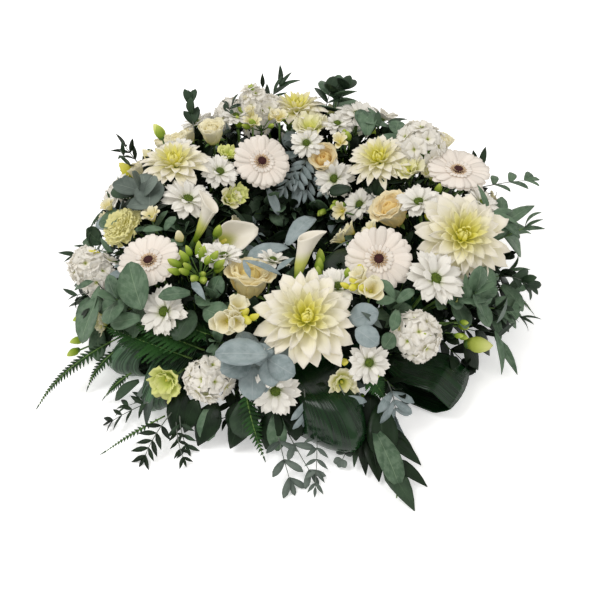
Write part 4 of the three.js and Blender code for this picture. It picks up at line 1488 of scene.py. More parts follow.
def sprig(
    bunch, route, rng, leaves, leaf_length, splay, pairs, bare, finish, flat=0.0, twist=90, stem=1.2,
    shrink=0.5, stem_finish="stem_green", alternate=False,
):
    """A stem with leaves in pairs, from a bare share of it to the tip. Flat is 1 where the leaves lie in
    one plane and 0 where they face the tip; twist turns each pair from the last, and shrink makes the
    leaves smaller towards the tip."""
    bunch.add(rod(route, stem * MM, 0.5 * stem * MM, sides=5), Matrix(), stem_finish)
    spin = rng.uniform(-10, 10) if flat else rng.uniform(0, 180)
    for index in range(pairs):
        share = bare + (0.97 - bare) * index / max(pairs - 1, 1)
        point, ahead = on_route(route, share)
        plane = square_to(ahead, UP)
        if plane.length < 0.2:
            plane = ahead.orthogonal()
        plane.normalize()
        side = ahead.cross(plane)
        turn = math.radians(spin + twist * index)
        pair = side * math.cos(turn) + plane * math.sin(turn)
        for hand in (1, -1):
            angle = math.radians(splay * (1 - 0.25 * index / pairs) + rng.uniform(-9, 9))
            way = ahead * math.cos(angle) + hand * pair * math.sin(angle)
            upper = ahead * (1 - flat) + flat * plane + jitter(rng, 0.18)
            scale = leaf_length / LEAF * (1 - shrink * index / pairs) * rng.uniform(0.88, 1.1)
            foot = point.copy()
            if alternate:
                foot += ahead * rng.uniform(-0.1, 0.1) * leaf_length * MM
            bunch.add(rng.choice(leaves), aim(foot, way, upper, scale), finish, rng.random())
    tip, ahead = on_route(route, 1)
    upper = square_to(ahead, UP) + Vector((0.01, 0.02, 0.01))
    last = aim(tip, ahead, upper, leaf_length / LEAF * (1 - shrink) * 0.9)
    bunch.add(leaves[0], last, finish, rng.random())


def fern(bunch, route, rng, half_width, pinnae, finish):
    """A frond: toothed leaflets down both sides, longest a quarter of the way along."""
    bare = 0.12
    bunch.add(rod(route, 1.1 * MM, 0.4 * MM, sides=5), Matrix(), "stem_green")
    for index in range(pinnae):
        share = bare + (1 - bare) * (index / pinnae) ** 0.92
        point, ahead = on_route(route, share)
        plane = square_to(ahead, UP).normalized()
        side = ahead.cross(plane)
        reach = half_width * min(1, 0.45 + 2.6 * (share - bare)) * (1.06 - share) ** 0.8
        for hand in (1, -1):
            angle = math.radians(72 - 24 * share + rng.uniform(-4, 4))
            way = ahead * math.cos(angle) + hand * side * math.sin(angle) - 0.12 * plane
            stretch = Matrix.Diagonal((1.1 * (PINNA / reach) ** 0.45, 1, 1, 1))
            upper = plane + 0.25 * hand * side + jitter(rng, 0.1)
            bunch.add(fern_pinna, aim(point, way, upper, reach / PINNA) @ stretch, finish, rng.random())
    tip, ahead = on_route(route, 1)
    bunch.add(fern_pinna, aim(tip, ahead, UP, 0.3), finish, rng.random())


print("leaf shapes and sprigs ready")

# %% [markdown]
# ## Greens in the CAD model
# The sprigs and fronds follow the same curves as their CAD solids: a straight start from the foam, then a
# bend towards a tip that sweeps along the ring and droops. The round eucalyptus sprigs come first.

# %% Sprigs of round leaves
# Clock, lean, length and finish of the short sprigs of round leaves.
ROUND_SPRIGS = {
    "eucalyptus_front": (257, 44, 108, "silver_leaf"),
    "eucalyptus_left": (214, 40, 118, "eucalyptus_leaf"),
    "eucalyptus_left_high": (177, 74, 116, "grey_leaf"),
    "eucalyptus_right": (325, 46, 118, "eucalyptus_leaf"),
    "eucalyptus_back": (77, 62, 122, "eucalyptus_leaf"),
}
for name, (clock, lean, length, finish) in ROUND_SPRIGS.items():
    bunch = Bunch()
    sprig(
        bunch, sprig_route(clock, lean, length), random.Random(name), [round_leaf, round_leaf_cupped], 42,
        splay=76, pairs=3, bare=0.66, finish=finish, stem=1.5, shrink=0.25,
    )
    make_piece(name + "_leaves", bunch, "eucalyptus", name)
print("sprigs of round leaves:", len(ROUND_SPRIGS))

# %% [markdown]
# ## Trailing sprigs
# Long sprigs of slim leaves reach out over the table. The front one's leaves are big and lie across each
# other, so each of them is laid on its own; the others are dressed in pairs.

# %% Trailing sprigs
# Clock, lean, length, sweep and droop of each stem, and its pairs of leaves.
TRAILING_SPRIGS = {
    "eucalyptus_far_right": ((354, 38, 138, 0, 0), 4),
    "eucalyptus_trailing_front": ((296, -4, 190, -56, 10), 0),
    "eucalyptus_trailing_back": ((97, -4, 175, 0, 8), 6),
}
# Shape, foot and tip as (clock, lean, reach), finish and width.
TRAILING_LEAVES = [
    (lance_leaf, (288, -2, 112), (294, -6, 150), "broad_leaf", 1.6),
    (lance_leaf, (289, -2, 126), (294, -7, 168), "broad_leaf", 1.3),
    (lance_leaf, (288, -5, 150), (293, -7, 194), "broad_leaf", 1.2),
    (lance_leaf, (287, -6, 152), (289, -7, 216), "dusk_leaf", 1.4),
    (oval_leaf, (287, 1, 122), (288, -6, 188), "eucalyptus_leaf", 0.8),
    (lance_leaf, (284, -2, 112), (283, -9, 160), "small_dark_leaf", 1.0),
    (lance_leaf, (286, -2, 116), (285, -8, 172), "small_dark_leaf", 1.4),
    (lance_leaf, (284, -4, 108), (281, -9, 148), "dusk_leaf", 0.8),
    (oval_leaf, (290, 8, 100), (287, -6, 150), "broad_leaf", 1.2),
]
for name, (curve, pairs) in TRAILING_SPRIGS.items():
    bunch = Bunch()
    rng = random.Random(name)
    route = sprig_route(*curve)
    if pairs:
        sprig(
            bunch, route, rng, [lance_leaf, lance_leaf_bent], 44, splay=38, pairs=pairs, bare=0.4,
            finish="eucalyptus_leaf", flat=0.8, twist=25, stem=1.4, shrink=0.35, alternate=True,
        )
    else:
        bunch.add(rod(route, 1.6 * MM, 0.8 * MM, sides=5), Matrix(), "stem_green")
        for shape, first, last, finish, wide in TRAILING_LEAVES:
            leaf_between(bunch, shape, first, last, finish, rng, wide)
    make_piece(name + "_leaves", bunch, "eucalyptus", name)
print("trailing sprigs:", len(TRAILING_SPRIGS))

# %% [markdown]
# ## Pistache and fern fronds
# Pistache is a thin twig with narrow leaflets in one plane. A fern frond arches from one point to another,
# with toothed leaflets down both sides.

# %% Pistache and fern fronds
bunch = Bunch()
sprig(
    bunch, sprig_route(275, 0, 166, -12, 22), random.Random("pistache"), [narrow_leaf], 19, splay=52,
    pairs=7, bare=0.45, finish="grey_leaf", flat=1.0, twist=0, stem=0.8, shrink=0.25,
    stem_finish="twig_grey",
)
make_piece("pistache_front_leaves", bunch, "pistache", "pistache_front")

# Foot and tip as (clock, lean, reach), the arch, half the width, pairs of leaflets and finish.
FRONDS = {
    "fern_left": ((239, 30, 84), (214, 20, 112), 4, 38, 18, "fern_leaf"),
    "fern_trailing_left": ((214, 10, 90), (215, -7, 206), 16, 15, 24, "dark_fern_leaf"),
}
for name, (first, last, bow, half_width, pinnae, finish) in FRONDS.items():
    bunch = Bunch()
    fern(bunch, bridge_route(first, last, bow, 14), random.Random(name), half_width, pinnae, finish)
    make_piece(name + "_frond", bunch, "fern", name)
print("fronds:", len(FRONDS), "and one sprig of pistache")

# %% [markdown]
# ## Aspidistra loops
# Long aspidistra leaves are folded back on themselves and pinned into the foam, so that each shows as a
# glossy, almost black roll with fine ribs along it; two of them carry pale streaks along their ribs, a
# painted sheen. A strip follows the loop's path, which starts as a few corners that are cut until they are
# round. Its ribs are real folds, and shallow.

# %% Loops


LOOP_STEPS = 40  # along the strip
CROWN_HEIGHT = 2.6  # how much the strip bulges between its edges, in millimetres


def rounded_path(corners, smoothing):
    """Cuts the corners of a path again and again, and gives LOOP_STEPS + 1 evenly spaced points on it."""
    knots = np.array(corners, dtype=float)
    for _ in range(smoothing):
        before = 0.75 * knots[:-1] + 0.25 * knots[1:]
        after = 0.25 * knots[:-1] + 0.75 * knots[1:]
        middle = np.stack([before, after], axis=1).reshape(-1, 2)
        knots = np.concatenate([knots[:1], middle, knots[-1:]])
    lengths = np.concatenate([[0], np.cumsum(np.linalg.norm(np.diff(knots, axis=0), axis=1))])
    places = np.linspace(0, 1, LOOP_STEPS + 1) * lengths[-1]
    return np.stack([np.interp(places, lengths, knots[:, k]) for k in (0, 1)], axis=1)


def loop_leaf(
    clock, yaw, low, high, out, half_width, round_edge=0.42, smoothing=2, ribs=7, rib_height=0.55,
    finish="aspidistra_leaf",
):
    """Low, high and out are heights and a distance beyond the foam, in millimetres. Yaw turns the leaf off
    its spoke."""
    corners = [
        (-14, 26), (0.35 * out, low), (0.8 * out, low), (out, (low + high) / 2),
        (0.72 * out, high), (0.25 * out, high - 4), (-8, 44),
    ]
    path = rounded_path(corners, smoothing)
    ahead = np.gradient(path, axis=0)
    ahead /= np.linalg.norm(ahead, axis=1)[:, None]
    normal = np.stack([ahead[:, 1], -ahead[:, 0]], axis=1)
    bpy.ops.mesh.primitive_grid_add(x_subdivisions=4 * ribs, y_subdivisions=LOOP_STEPS, size=1)
    item = bpy.context.object
    flat = coordinates(item)
    step = np.rint((flat[:, 1] + 0.5) * LOOP_STEPS).astype(int)
    across = 2 * flat[:, 0]
    width = half_width * np.interp(step / LOOP_STEPS, [0, 0.15, 0.5, 0.85, 1], [0.5, 0.85, 1, 0.85, 0.5])
    bulge = CROWN_HEIGHT * (1 - across**2) + rib_height * np.cos(math.pi * ribs * across)
    away = (path[step, 0] + normal[step, 0] * bulge) * (1 - round_edge * across**2)
    height = path[step, 1] + normal[step, 1] * bulge
    spoke = away[:, None] * np.array(radial(clock + yaw))
    aside = (across * width)[:, None] * np.array(tangent(clock + yaw))
    moved = FOAM_OUTER * np.array(radial(clock)) + MM * (spoke + aside)
    moved[:, 2] = MM * np.maximum(height, 1.0)
    item.data.vertices.foreach_set("co", moved.ravel())
    thicken(item, 0.8)
    bunch = Bunch()
    bunch.add(Shape(item), Matrix(), finish, 0.3)
    return bunch


# Clock, yaw, low, high, out and half width; then how far the edges draw back, how often the corners are
# cut, the ribs and their height, and the finish.
# The leaf of the two left loops, whose pale streaks along the ribs are painted sheen.
SHEEN_STREAKED = "striped_aspidistra_leaf"
LOOPS = {
    "aspidistra_loop_front": (271, 30, 3, 66, 118, 37, 0.42, 2, 7, 0.15),
    "aspidistra_loop_front_left": (229, 11, 4, 50, 99, 21, 0.3, 2, 9, 0.9, SHEEN_STREAKED),
    "aspidistra_loop_left": (221, -14, 3, 50, 88, 21, 0.3, 2, 7, 0.7, SHEEN_STREAKED),
    "aspidistra_loop_right": (302, 33, 5, 38, 92, 33, 0.03, 0, 7, 0.12),
    "aspidistra_loop_back": (60, 0, 6, 60, 66, 36),
}
for name, plan in LOOPS.items():
    make_piece(name + "_leaf", loop_leaf(*plan), "aspidistra", name)
print("loops made:", len(LOOPS))

# %% [markdown]
# ## Single leaves and small sprigs between the flowers
# Eucalyptus leaves lie on the cushion between the heads, singly and in rosettes, and give the wreath its
# grey-green tone. Each leaf is laid by the place of its foot and the way it points: 0 to the right, 90 up
# the slope towards the back, 180 to the left and 270 down to the front.

# %% Laid leaves
UPHILL = (UP + Vector((0, 1, 0))).normalized()
LAID_LIFT = math.radians(8)


def lay_leaf(bunch, shape, clock, lean, reach, way, length, finish, rng):
    """A leaf that lies on the slope at its foot, with its tip a little raised."""
    normal = outward(clock, lean)
    flat = math.cos(math.radians(way)) * Vector((1, 0, 0)) + math.sin(math.radians(way)) * UPHILL
    ahead = square_to(normal, flat).normalized()
    ahead = ahead * math.cos(LAID_LIFT) + normal * math.sin(LAID_LIFT)
    place = aim(ring_point(clock, lean, reach), ahead, normal + jitter(rng, 0.12), length / LEAF)
    bunch.add(shape, place, finish, rng.random())


# A finish and a shape; then each leaf's foot as clock, lean and reach, the way it points, and its length.
LAID_LEAVES = [
    # The blue-grey rosette in front.
    ("silver_leaf", round_leaf, [(262, 46, 118, 330, 34), (262, 46, 117, 280, 30),
        (258, 40, 104, 268, 36)]),
    # Left side.
    ("eucalyptus_leaf", round_leaf, [(224, 47, 120, 112, 56)]),
    ("eucalyptus_leaf", oval_leaf, [(223, 41, 110, 186, 42)]),
    ("eucalyptus_leaf", round_leaf, [(207, 29, 116, 240, 56)]),
    ("eucalyptus_leaf", oval_leaf, [(204, 33, 112, 262, 34)]),
    ("eucalyptus_leaf", lance_leaf, [(203, 34, 120, 184, 34)]),
    ("small_dark_leaf", lance_leaf, [(207, 22, 122, 205, 28)]),
    ("eucalyptus_leaf", oval_leaf, [(234, 68, 118, 184, 36)]),
    ("silver_leaf", lance_leaf, [(230, 76, 110, 300, 36)]),
    ("dusk_leaf", round_leaf, [(235, 62, 98, 250, 40)]),
    ("eucalyptus_leaf", round_leaf, [(238, 66, 98, 330, 34)]),
    ("eucalyptus_leaf", oval_leaf, [(199, 85, 106, 190, 24), (200, 86, 106, 72, 24),
        (210, 92, 102, 182, 26)]),
    ("dusk_leaf", oval_leaf, [(211, 93, 100, 268, 28)]),
    ("grey_leaf", round_leaf, [(187, 80, 112, 98, 44)]),
    ("dusk_leaf", round_leaf, [(177, 68, 110, 140, 36)]),
    ("grey_leaf", round_leaf, [(184, 84, 110, 196, 34)]),
    ("eucalyptus_leaf", round_leaf, [(184, 60, 104, 176, 34)]),
    # Over the hole.
    ("dusk_leaf", oval_leaf, [(205, 143, 116, 96, 46)]),
    ("grey_leaf", lance_leaf, [(300, 134, 116, 80, 34)]),
    # Right side.
    ("eucalyptus_leaf", lance_leaf, [(350, 62, 132, 88, 40), (350, 60, 132, 28, 38),
        (350, 60, 134, 352, 38)]),
    ("eucalyptus_leaf", oval_leaf, [(350, 59, 132, 312, 42)]),
    ("eucalyptus_leaf", lance_leaf, [(325, 20, 118, 297, 54)]),
    ("grey_leaf", lance_leaf, [(326, 24, 120, 52, 32)]),
    ("eucalyptus_leaf", round_leaf, [(330, 36, 108, 170, 34), (328, 42, 112, 60, 34),
        (326, 38, 106, 300, 30)]),
    ("eucalyptus_leaf", oval_leaf, [(332, 44, 110, 110, 30)]),
    # Right of the front dahlia.
    ("silver_leaf", round_leaf, [(285, 66, 108, 20, 34), (286, 60, 114, 320, 30)]),
    ("eucalyptus_leaf", oval_leaf, [(302, 71, 108, 120, 26), (302, 70, 108, 200, 24),
        (302, 68, 108, 40, 26), (301, 64, 106, 250, 28)]),
    ("grey_leaf", lance_leaf, [(294, 57, 108, 145, 30)]),
    ("eucalyptus_leaf", round_leaf, [(297, 52, 104, 230, 22)]),
    # Back right.
    ("eucalyptus_leaf", oval_leaf, [(58, 93, 114, 96, 36)]),
    ("eucalyptus_leaf", lance_leaf, [(55, 83, 118, 104, 30)]),
    ("eucalyptus_leaf", oval_leaf, [(50, 82, 115, 176, 34)]),
    ("eucalyptus_leaf", round_leaf, [(44, 86, 116, 80, 26)]),
    ("dusk_leaf", lance_leaf, [(52, 80, 116, 28, 30)]),
    ("dusk_leaf", oval_leaf, [(42, 134, 104, 180, 32)]),
    ("filler_leaf", oval_leaf, [(20, 98, 98, 200, 30), (26, 100, 98, 20, 30)]),
]
rng = random.Random("laid leaves")
laid = Bunch()
for finish, shape, plans in LAID_LEAVES:
    for plan in plans:
        lay_leaf(laid, shape, *plan, finish, rng)
print("laid leaves:", len(laid.copies))

# %% [markdown]
# ## Leaves between two points
# Where a leaf has to cover one certain gap, it is simpler to say where both its ends are. The leaf is
# stretched from its foot to its tip, and a share of its width makes it slimmer or broader.

# %% Leaves between two points
# A finish and a shape; then each leaf's foot and tip as (clock, lean, reach), and its width.
LONG_LEAVES = [
    # Broad dark leaves low at the front.
    ("broad_leaf", broad_leaf, [((244, 8, 100), (243, -8, 130), 1.1), ((255, 12, 90), (255, -9, 120), 1.2),
        ((269, 16, 80), (269, -9, 112), 1.2), ((289, 14, 82), (286, -8, 132), 0.9),
        ((276, 28, 82), (274, -2, 96), 1.2), ((262, 30, 84), (262, 0, 100), 1.2),
        ((208, 14, 92), (212, -5, 122), 0.7), ((336, 18, 88), (334, -4, 106), 1.1),
        ((350, 14, 90), (350, -6, 112), 1.0), ((195, 12, 90), (197, -6, 112), 1.0),
        ((206, 14, 94), (207, -7, 128), 0.8)]),
    ("filler_leaf", broad_leaf, [((321, 14, 86), (322, -8, 110), 1.2)]),
    ("broad_leaf", broad_leaf, [((327, 12, 86), (328, -8, 110), 1.1)]),
    ("filler_leaf", broad_leaf, [((315, 10, 84), (317, -9, 104), 1.2)]),
    ("broad_leaf", broad_leaf, [((240, 8, 98), (241, -9, 136), 1.1), ((249, 8, 96), (247, -9, 138), 1.1),
        ((257, 6, 94), (254, -9, 130), 1.1), ((264, 8, 90), (262, -9, 124), 1.1)]),
    # Eucalyptus leaves low at the front.
    ("eucalyptus_leaf", oval_leaf, [((247, 4, 104), (249, -9, 128), 1.3),
        ((264, 6, 92), (265, -9, 124), 1.1)]),
    ("dusk_leaf", oval_leaf, [((256, 14, 96), (257, -4, 120), 1.5), ((276, 2, 84), (273, -10, 108), 1.0)]),
    ("grey_leaf", lance_leaf, [((232, 6, 112), (235, -8, 142), 0.9)]),
    ("dusk_leaf", oval_leaf, [((228, 4, 112), (225, -6, 140), 0.9)]),
    ("grey_leaf", lance_leaf, [((231, 6, 108), (230, -3, 132), 1.0)]),
    # Left side.
    ("eucalyptus_leaf", round_leaf, [((203, 22, 100), (204, -3, 128), 1.0)]),
    ("eucalyptus_leaf", oval_leaf, [((208, 10, 108), (213, -6, 124), 1.0),
        ((197, 24, 104), (195, 12, 124), 0.8)]),
    ("small_dark_leaf", lance_leaf, [((197, 6, 108), (194, -2, 132), 1.0)]),
    # The widest leaf of the rosette in front.
    ("silver_leaf", round_leaf, [((262, 48, 129), (249.5, 44, 136), 0.85)]),
    # Over the hole.
    ("silver_leaf", oval_leaf, [((253, 146, 130), (231, 126, 100), 0.85),
        ((252, 146, 132), (54, 155, 140), 0.6)]),
    ("dusk_leaf", oval_leaf, [((190, 150, 84), (170, 152, 112), 1.0)]),
    ("dusk_leaf", round_leaf, [((160, 148, 76), (140, 158, 92), 0.8)]),
    ("silver_leaf", lance_leaf, [((261, 104, 108), (240, 104, 116), 0.7),
        ((258, 106, 110), (267, 118, 120), 0.9), ((249, 93, 112), (241, 103, 118), 0.9)]),
    ("broad_leaf", broad_leaf, [((291, 122, 88), (326, 144, 116), 1.0)]),
    ("broad_leaf", oval_leaf, [((41, 154, 84), (30, 156, 116), 1.2)]),
    ("silver_leaf", oval_leaf, [((118, 140, 92), (118, 160, 108), 0.7),
        ((90, 134, 84), (96, 160, 102), 0.6)]),
    ("broad_leaf", broad_leaf, [((258, 137, 103), (250, 156, 135), 0.8),
        ((266, 139, 100), (274, 158, 131), 0.8), ((248, 131, 107), (240, 150, 129), 0.8)]),
    # Low inside the hole: near-black leaves laid on the floor there, painted shade that darkens it.
    ("filler_leaf", broad_leaf, [((122, -154, 51), (101, -165, 88), 1.6),
        ((138, -155, 52), (118, -165, 90), 1.6), ((90, -155, 53), (60, -164, 84), 1.6),
        ((105, -155, 52), (88, -166, 94), 1.6), ((72, -155, 53), (52, -166, 94), 1.6),
        ((78, -178, 98), (110, -172, 74), 1.4), ((60, -176, 88), (80, -165, 56), 1.4)]),
    # Dark leaves behind the heads at the back.
    ("dusk_leaf", broad_leaf, [((126, 66, 84), (122, 84, 104), 1.2)]),
    ("broad_leaf", broad_leaf, [((114, 70, 84), (118, 86, 106), 1.2)]),
    ("filler_leaf", broad_leaf, [((10, 40, 84), (16, 56, 100), 1.2), ((18, 30, 84), (12, 44, 104), 1.2)]),
    ("broad_leaf", broad_leaf, [((134, 60, 82), (140, 76, 100), 1.2)]),
    # Behind the left calla.
    ("broad_leaf", broad_leaf, [((179, 87, 82), (188, 113, 89), 1.0),
        ((184, 80, 84), (196, 100, 92), 0.9)]),
    # Right side.
    ("eucalyptus_leaf", round_leaf, [((338, 20, 96), (336, 8, 122), 1.1)]),
    ("eucalyptus_leaf", oval_leaf, [((344, 18, 96), (342, 2, 124), 1.1)]),
    ("broad_leaf", broad_leaf, [((340, 6, 90), (338, -8, 116), 1.2)]),
    ("filler_leaf", broad_leaf, [((347, 8, 90), (347, -8, 112), 1.2)]),
    ("eucalyptus_leaf", oval_leaf, [((1, 36, 104), (8, 42, 123), 1.0)]),
    ("eucalyptus_leaf", lance_leaf, [((1, 34, 104), (9, 23, 151), 1.1), ((1, 34, 104), (5, 15, 136), 1.2)]),
    ("eucalyptus_leaf", oval_leaf, [((0, 36, 103), (359, 9, 119), 1.4)]),
    ("eucalyptus_leaf", lance_leaf, [((335, 14, 92), (331, 1, 112), 1.3),
        ((330, 4, 104), (327, -9, 147), 0.9)]),
    ("grey_leaf", lance_leaf, [((330, 2, 106), (336, 6, 120), 0.7)]),
    ("eucalyptus_leaf", oval_leaf, [((331, 36, 108), (319, 49, 114), 1.2)]),
    ("eucalyptus_leaf", round_leaf, [((325, 43, 108), (333, 40, 116), 1.1)]),
    ("eucalyptus_leaf", lance_leaf, [((322, 44, 110), (326, 58, 120), 1.3)]),
    # Back.
    ("small_dark_leaf", lance_leaf, [((25, 38, 114), (30, 40, 128), 1.2),
        ((25, 35, 118), (30, 34, 143), 1.0)]),
    ("eucalyptus_leaf", oval_leaf, [((53, 99, 118), (62, 78, 122), 1.0),
        ((48, 98, 116), (39, 85, 114), 1.1)]),
    ("dusk_leaf", lance_leaf, [((52, 90, 118), (57, 79, 128), 1.2)]),
    ("grey_leaf", round_leaf, [((172, 58, 106), (171, 66, 126), 1.0),
        ((180, 78, 106), (168, 72, 118), 0.9)]),
]
for finish, shape, plans in LONG_LEAVES:
    for first, last, wide in plans:
        leaf_between(laid, shape, first, last, finish, rng, wide)
make_piece("laid_leaves", laid, "eucalyptus")
print("laid leaves and leaves between points:", len(laid.copies))

# %% [markdown]
# ## Small sprigs
# Thin grey twigs with small leaves stand up along the back edge, lie over the hole and hang on to the
# table in front. Each runs in a low arch from one point to another.

# %% Small sprigs
# A finish and a leaf shape; then each sprig's foot and tip as (clock, lean, reach), its arch, and its
# leaves' length, splay, pairs and flatness.
SMALL_SPRIGS = [
    # Back edge, standing up.
    ("dusk_leaf", oval_leaf, [((133, 67, 104), (130, 64, 139), 0, 23, 26, 3, 0.5)]),
    ("small_dark_leaf", lance_leaf, [((152, 44, 100), (154, 50, 134), 2, 26, 46, 3, 0.4)]),
    ("dusk_leaf", lance_leaf, [((156, 46, 100), (160, 56, 132), 2, 24, 50, 2, 0.4),
        ((105, 70, 108), (97, 66, 134), 0, 32, 34, 3, 0.5)]),
    ("small_dark_leaf", lance_leaf, [((104, 68, 108), (103, 64, 134), 0, 24, 24, 2, 0.5)]),
    ("dusk_leaf", round_leaf, [((80, 70, 108), (79, 68, 129), 0, 27, 66, 2, 0.1),
        ((76, 68, 108), (74, 66, 134), 0, 25, 60, 2, 0.1)]),
    ("eucalyptus_leaf", oval_leaf, [((20, 34, 100), (19, 20, 158), 2, 26, 60, 3, 0.8)]),
    ("dusk_leaf", oval_leaf, [((120, 74, 110), (118, 78, 128), 2, 18, 56, 3, 0.6)]),
    # Silver sprigs over the hole.
    ("silver_leaf", small_leaf, [((84, 118, 96), (92, 138, 98), 3, 22, 52, 4, 0.7),
        ((80, 120, 92), (84, 146, 92), 2, 22, 52, 4, 0.7),
        ((92, 124, 92), (104, 142, 96), 2, 20, 50, 4, 0.7),
        ((74, 118, 96), (66, 140, 98), 2, 22, 50, 4, 0.7)]),
    # Low in front, hanging on to the table.
    ("grey_leaf", small_leaf, [((264, -4, 96), (268, -8, 158), 6, 25, 50, 3, 0.9),
        ((267, -4, 104), (272, -8, 148), 4, 24, 46, 2, 0.9)]),
    ("silver_leaf", small_leaf, [((271, 26, 92), (272, -4, 100), 8, 24, 48, 4, 0.8),
        ((280, 28, 94), (284, -2, 104), 8, 26, 48, 4, 0.8),
        ((293, 22, 92), (293, 0, 110), 8, 30, 50, 4, 0.9)]),
    ("grey_leaf", round_leaf, [((281, -8, 120), (279, -9, 136), 2, 12, 50, 2, 0.9)]),
    ("small_dark_leaf", narrow_leaf, [((239, -2, 118), (239, -8, 172), 6, 21, 54, 5, 0.9),
        ((235, 2, 112), (228, -8, 158), 6, 20, 52, 4, 0.9),
        ((241, -4, 124), (246, -8, 156), 4, 15, 52, 4, 0.9)]),
    ("dusk_leaf", narrow_leaf, [((241, -2, 116), (245, -9, 140), 4, 20, 60, 3, 0.7),
        ((234, 0, 112), (229, -4, 136), 4, 22, 50, 2, 0.8)]),
    # Left and right edges.
    ("dusk_leaf", lance_leaf, [((200, 20, 100), (198, 14, 122), 4, 24, 44, 2, 0.6),
        ((336, 14, 98), (337, 8, 124), 2, 26, 44, 2, 0.6)]),
    ("dusk_leaf", oval_leaf, [((346, 22, 100), (345, 16, 126), 4, 24, 50, 3, 0.5)]),
    ("dusk_leaf", lance_leaf, [((184, 24, 98), (185, 18, 120), 2, 24, 46, 2, 0.5)]),
]
rng = random.Random("small sprigs")
sprigs = Bunch()
for finish, shape, plans in SMALL_SPRIGS:
    for first, last, bow, length, splay, pairs, flat in plans:
        sprig(
            sprigs, bridge_route(first, last, bow, 6), rng, [shape], length, splay=splay, pairs=pairs,
            bare=0.3, finish=finish, flat=flat, twist=0 if flat > 0.6 else 80, stem=0.8, shrink=0.15,
            stem_finish="twig_grey",
        )
make_piece("small_sprigs", sprigs, "pistache")
print("small sprigs' triangles:", sprigs.triangles())

# %% [markdown]
# ## More ferns
# Short fronds fill the low gaps all round, darker where less light reaches them. They are the same
# frond as before, each with its own width and number of leaflets.

# %% More ferns
# A finish; then each frond's foot and tip as (clock, lean, reach), its arch, half its width and its pairs
# of leaflets.
EXTRA_FERNS = [
    ("fern_leaf", [((242, 40, 84), (222, 36, 108), 4, 32, 14), ((244, 52, 88), (232, 50, 106), 2, 24, 12),
        ((255, 24, 84), (262, -10, 130), 10, 20, 15), ((288, 34, 84), (291, 14, 100), 4, 22, 12)]),
    ("dark_fern_leaf", [((345, 14, 90), (346, -6, 134), 6, 13, 15),
        ((336, 17, 74), (341, -4, 117), 6, 15, 13), ((216, 6, 96), (217, -8, 148), 8, 14, 13),
        ((224, 2, 108), (222, -8, 142), 4, 11, 13)]),
    ("fern_leaf", [((238, -3, 124), (232, -8, 190), 6, 8, 16), ((20, 8, 92), (20, -8, 128), 4, 22, 12)]),
    ("dark_fern_leaf", [((62, 10, 92), (66, -6, 132), 6, 24, 13)]),
    ("fern_leaf", [((126, 14, 96), (124, -6, 136), 6, 24, 13)]),
    ("dark_fern_leaf", [((160, 10, 96), (162, -6, 132), 6, 22, 12),
        ((186, 2, 96), (184, -8, 126), 4, 18, 12)]),
]
rng = random.Random("ferns")
bunch = Bunch()
for finish, plans in EXTRA_FERNS:
    for first, last, bow, half_width, pinnae in plans:
        fern(bunch, bridge_route(first, last, bow, 10), rng, half_width, pinnae, finish)
make_piece("more_ferns", bunch, "fern")
print("ferns' triangles:", bunch.triangles())

# %% [markdown]
# ## Eucalyptus all round
# Short leafy tips stand between the heads and round the edge, a little lower than the flowers. They are
# set in rings, each at its own lean. A tip that would poke through a flower is left out.

# %% Eucalyptus all round
bodies = [(stem.face - 0.9 * stem.radius * stem.along, 1.1 * stem.radius) for stem in heads]


def inside_a_head(point, share=0.85):
    """Whether a leaf tip would poke through a flower or the cup behind its face."""
    return any((point - spot).length < share * radius for spot, radius in taken + bodies)


# The lean and reach of each ring of tips, and the degrees between one tip and the next.
TIP_RINGS = (
    (4, 104, 17), (24, 100, 19), (48, 94, 21), (74, 90, 23), (104, 88, 25), (132, 86, 27), (160, 84, 24),
)
TIP_FINISHES = ("eucalyptus_leaf", "eucalyptus_leaf", "dusk_leaf", "silver_leaf")
TIP_LEAVES = ([round_leaf, round_leaf_cupped], [oval_leaf], [lance_leaf, lance_leaf_bent])
rng = random.Random("eucalyptus")
bunch = Bunch()
for lean, reach, step in TIP_RINGS:
    clock = rng.uniform(0, step)
    while clock < 360:
        finish = rng.choice(TIP_FINISHES)
        leaves = rng.choice(TIP_LEAVES)
        turn = clock + rng.uniform(-4, 4)
        tilt = lean + rng.uniform(-6, 6)
        route = sprig_route(turn, tilt, reach * rng.uniform(0.92, 1.06), 0, 4, 4)
        length = rng.uniform(26, 36)
        in_front = lean < 30 and 218 < clock < 326
        if not in_front and not inside_a_head(route[-1]):
            sprig(
                bunch, route, rng, leaves, length, splay=62, pairs=2, bare=0.72, finish=finish, flat=0.2,
                shrink=0.2,
            )
        clock += step
make_piece("eucalyptus_tips", bunch, "eucalyptus")
print("eucalyptus triangles:", bunch.triangles())
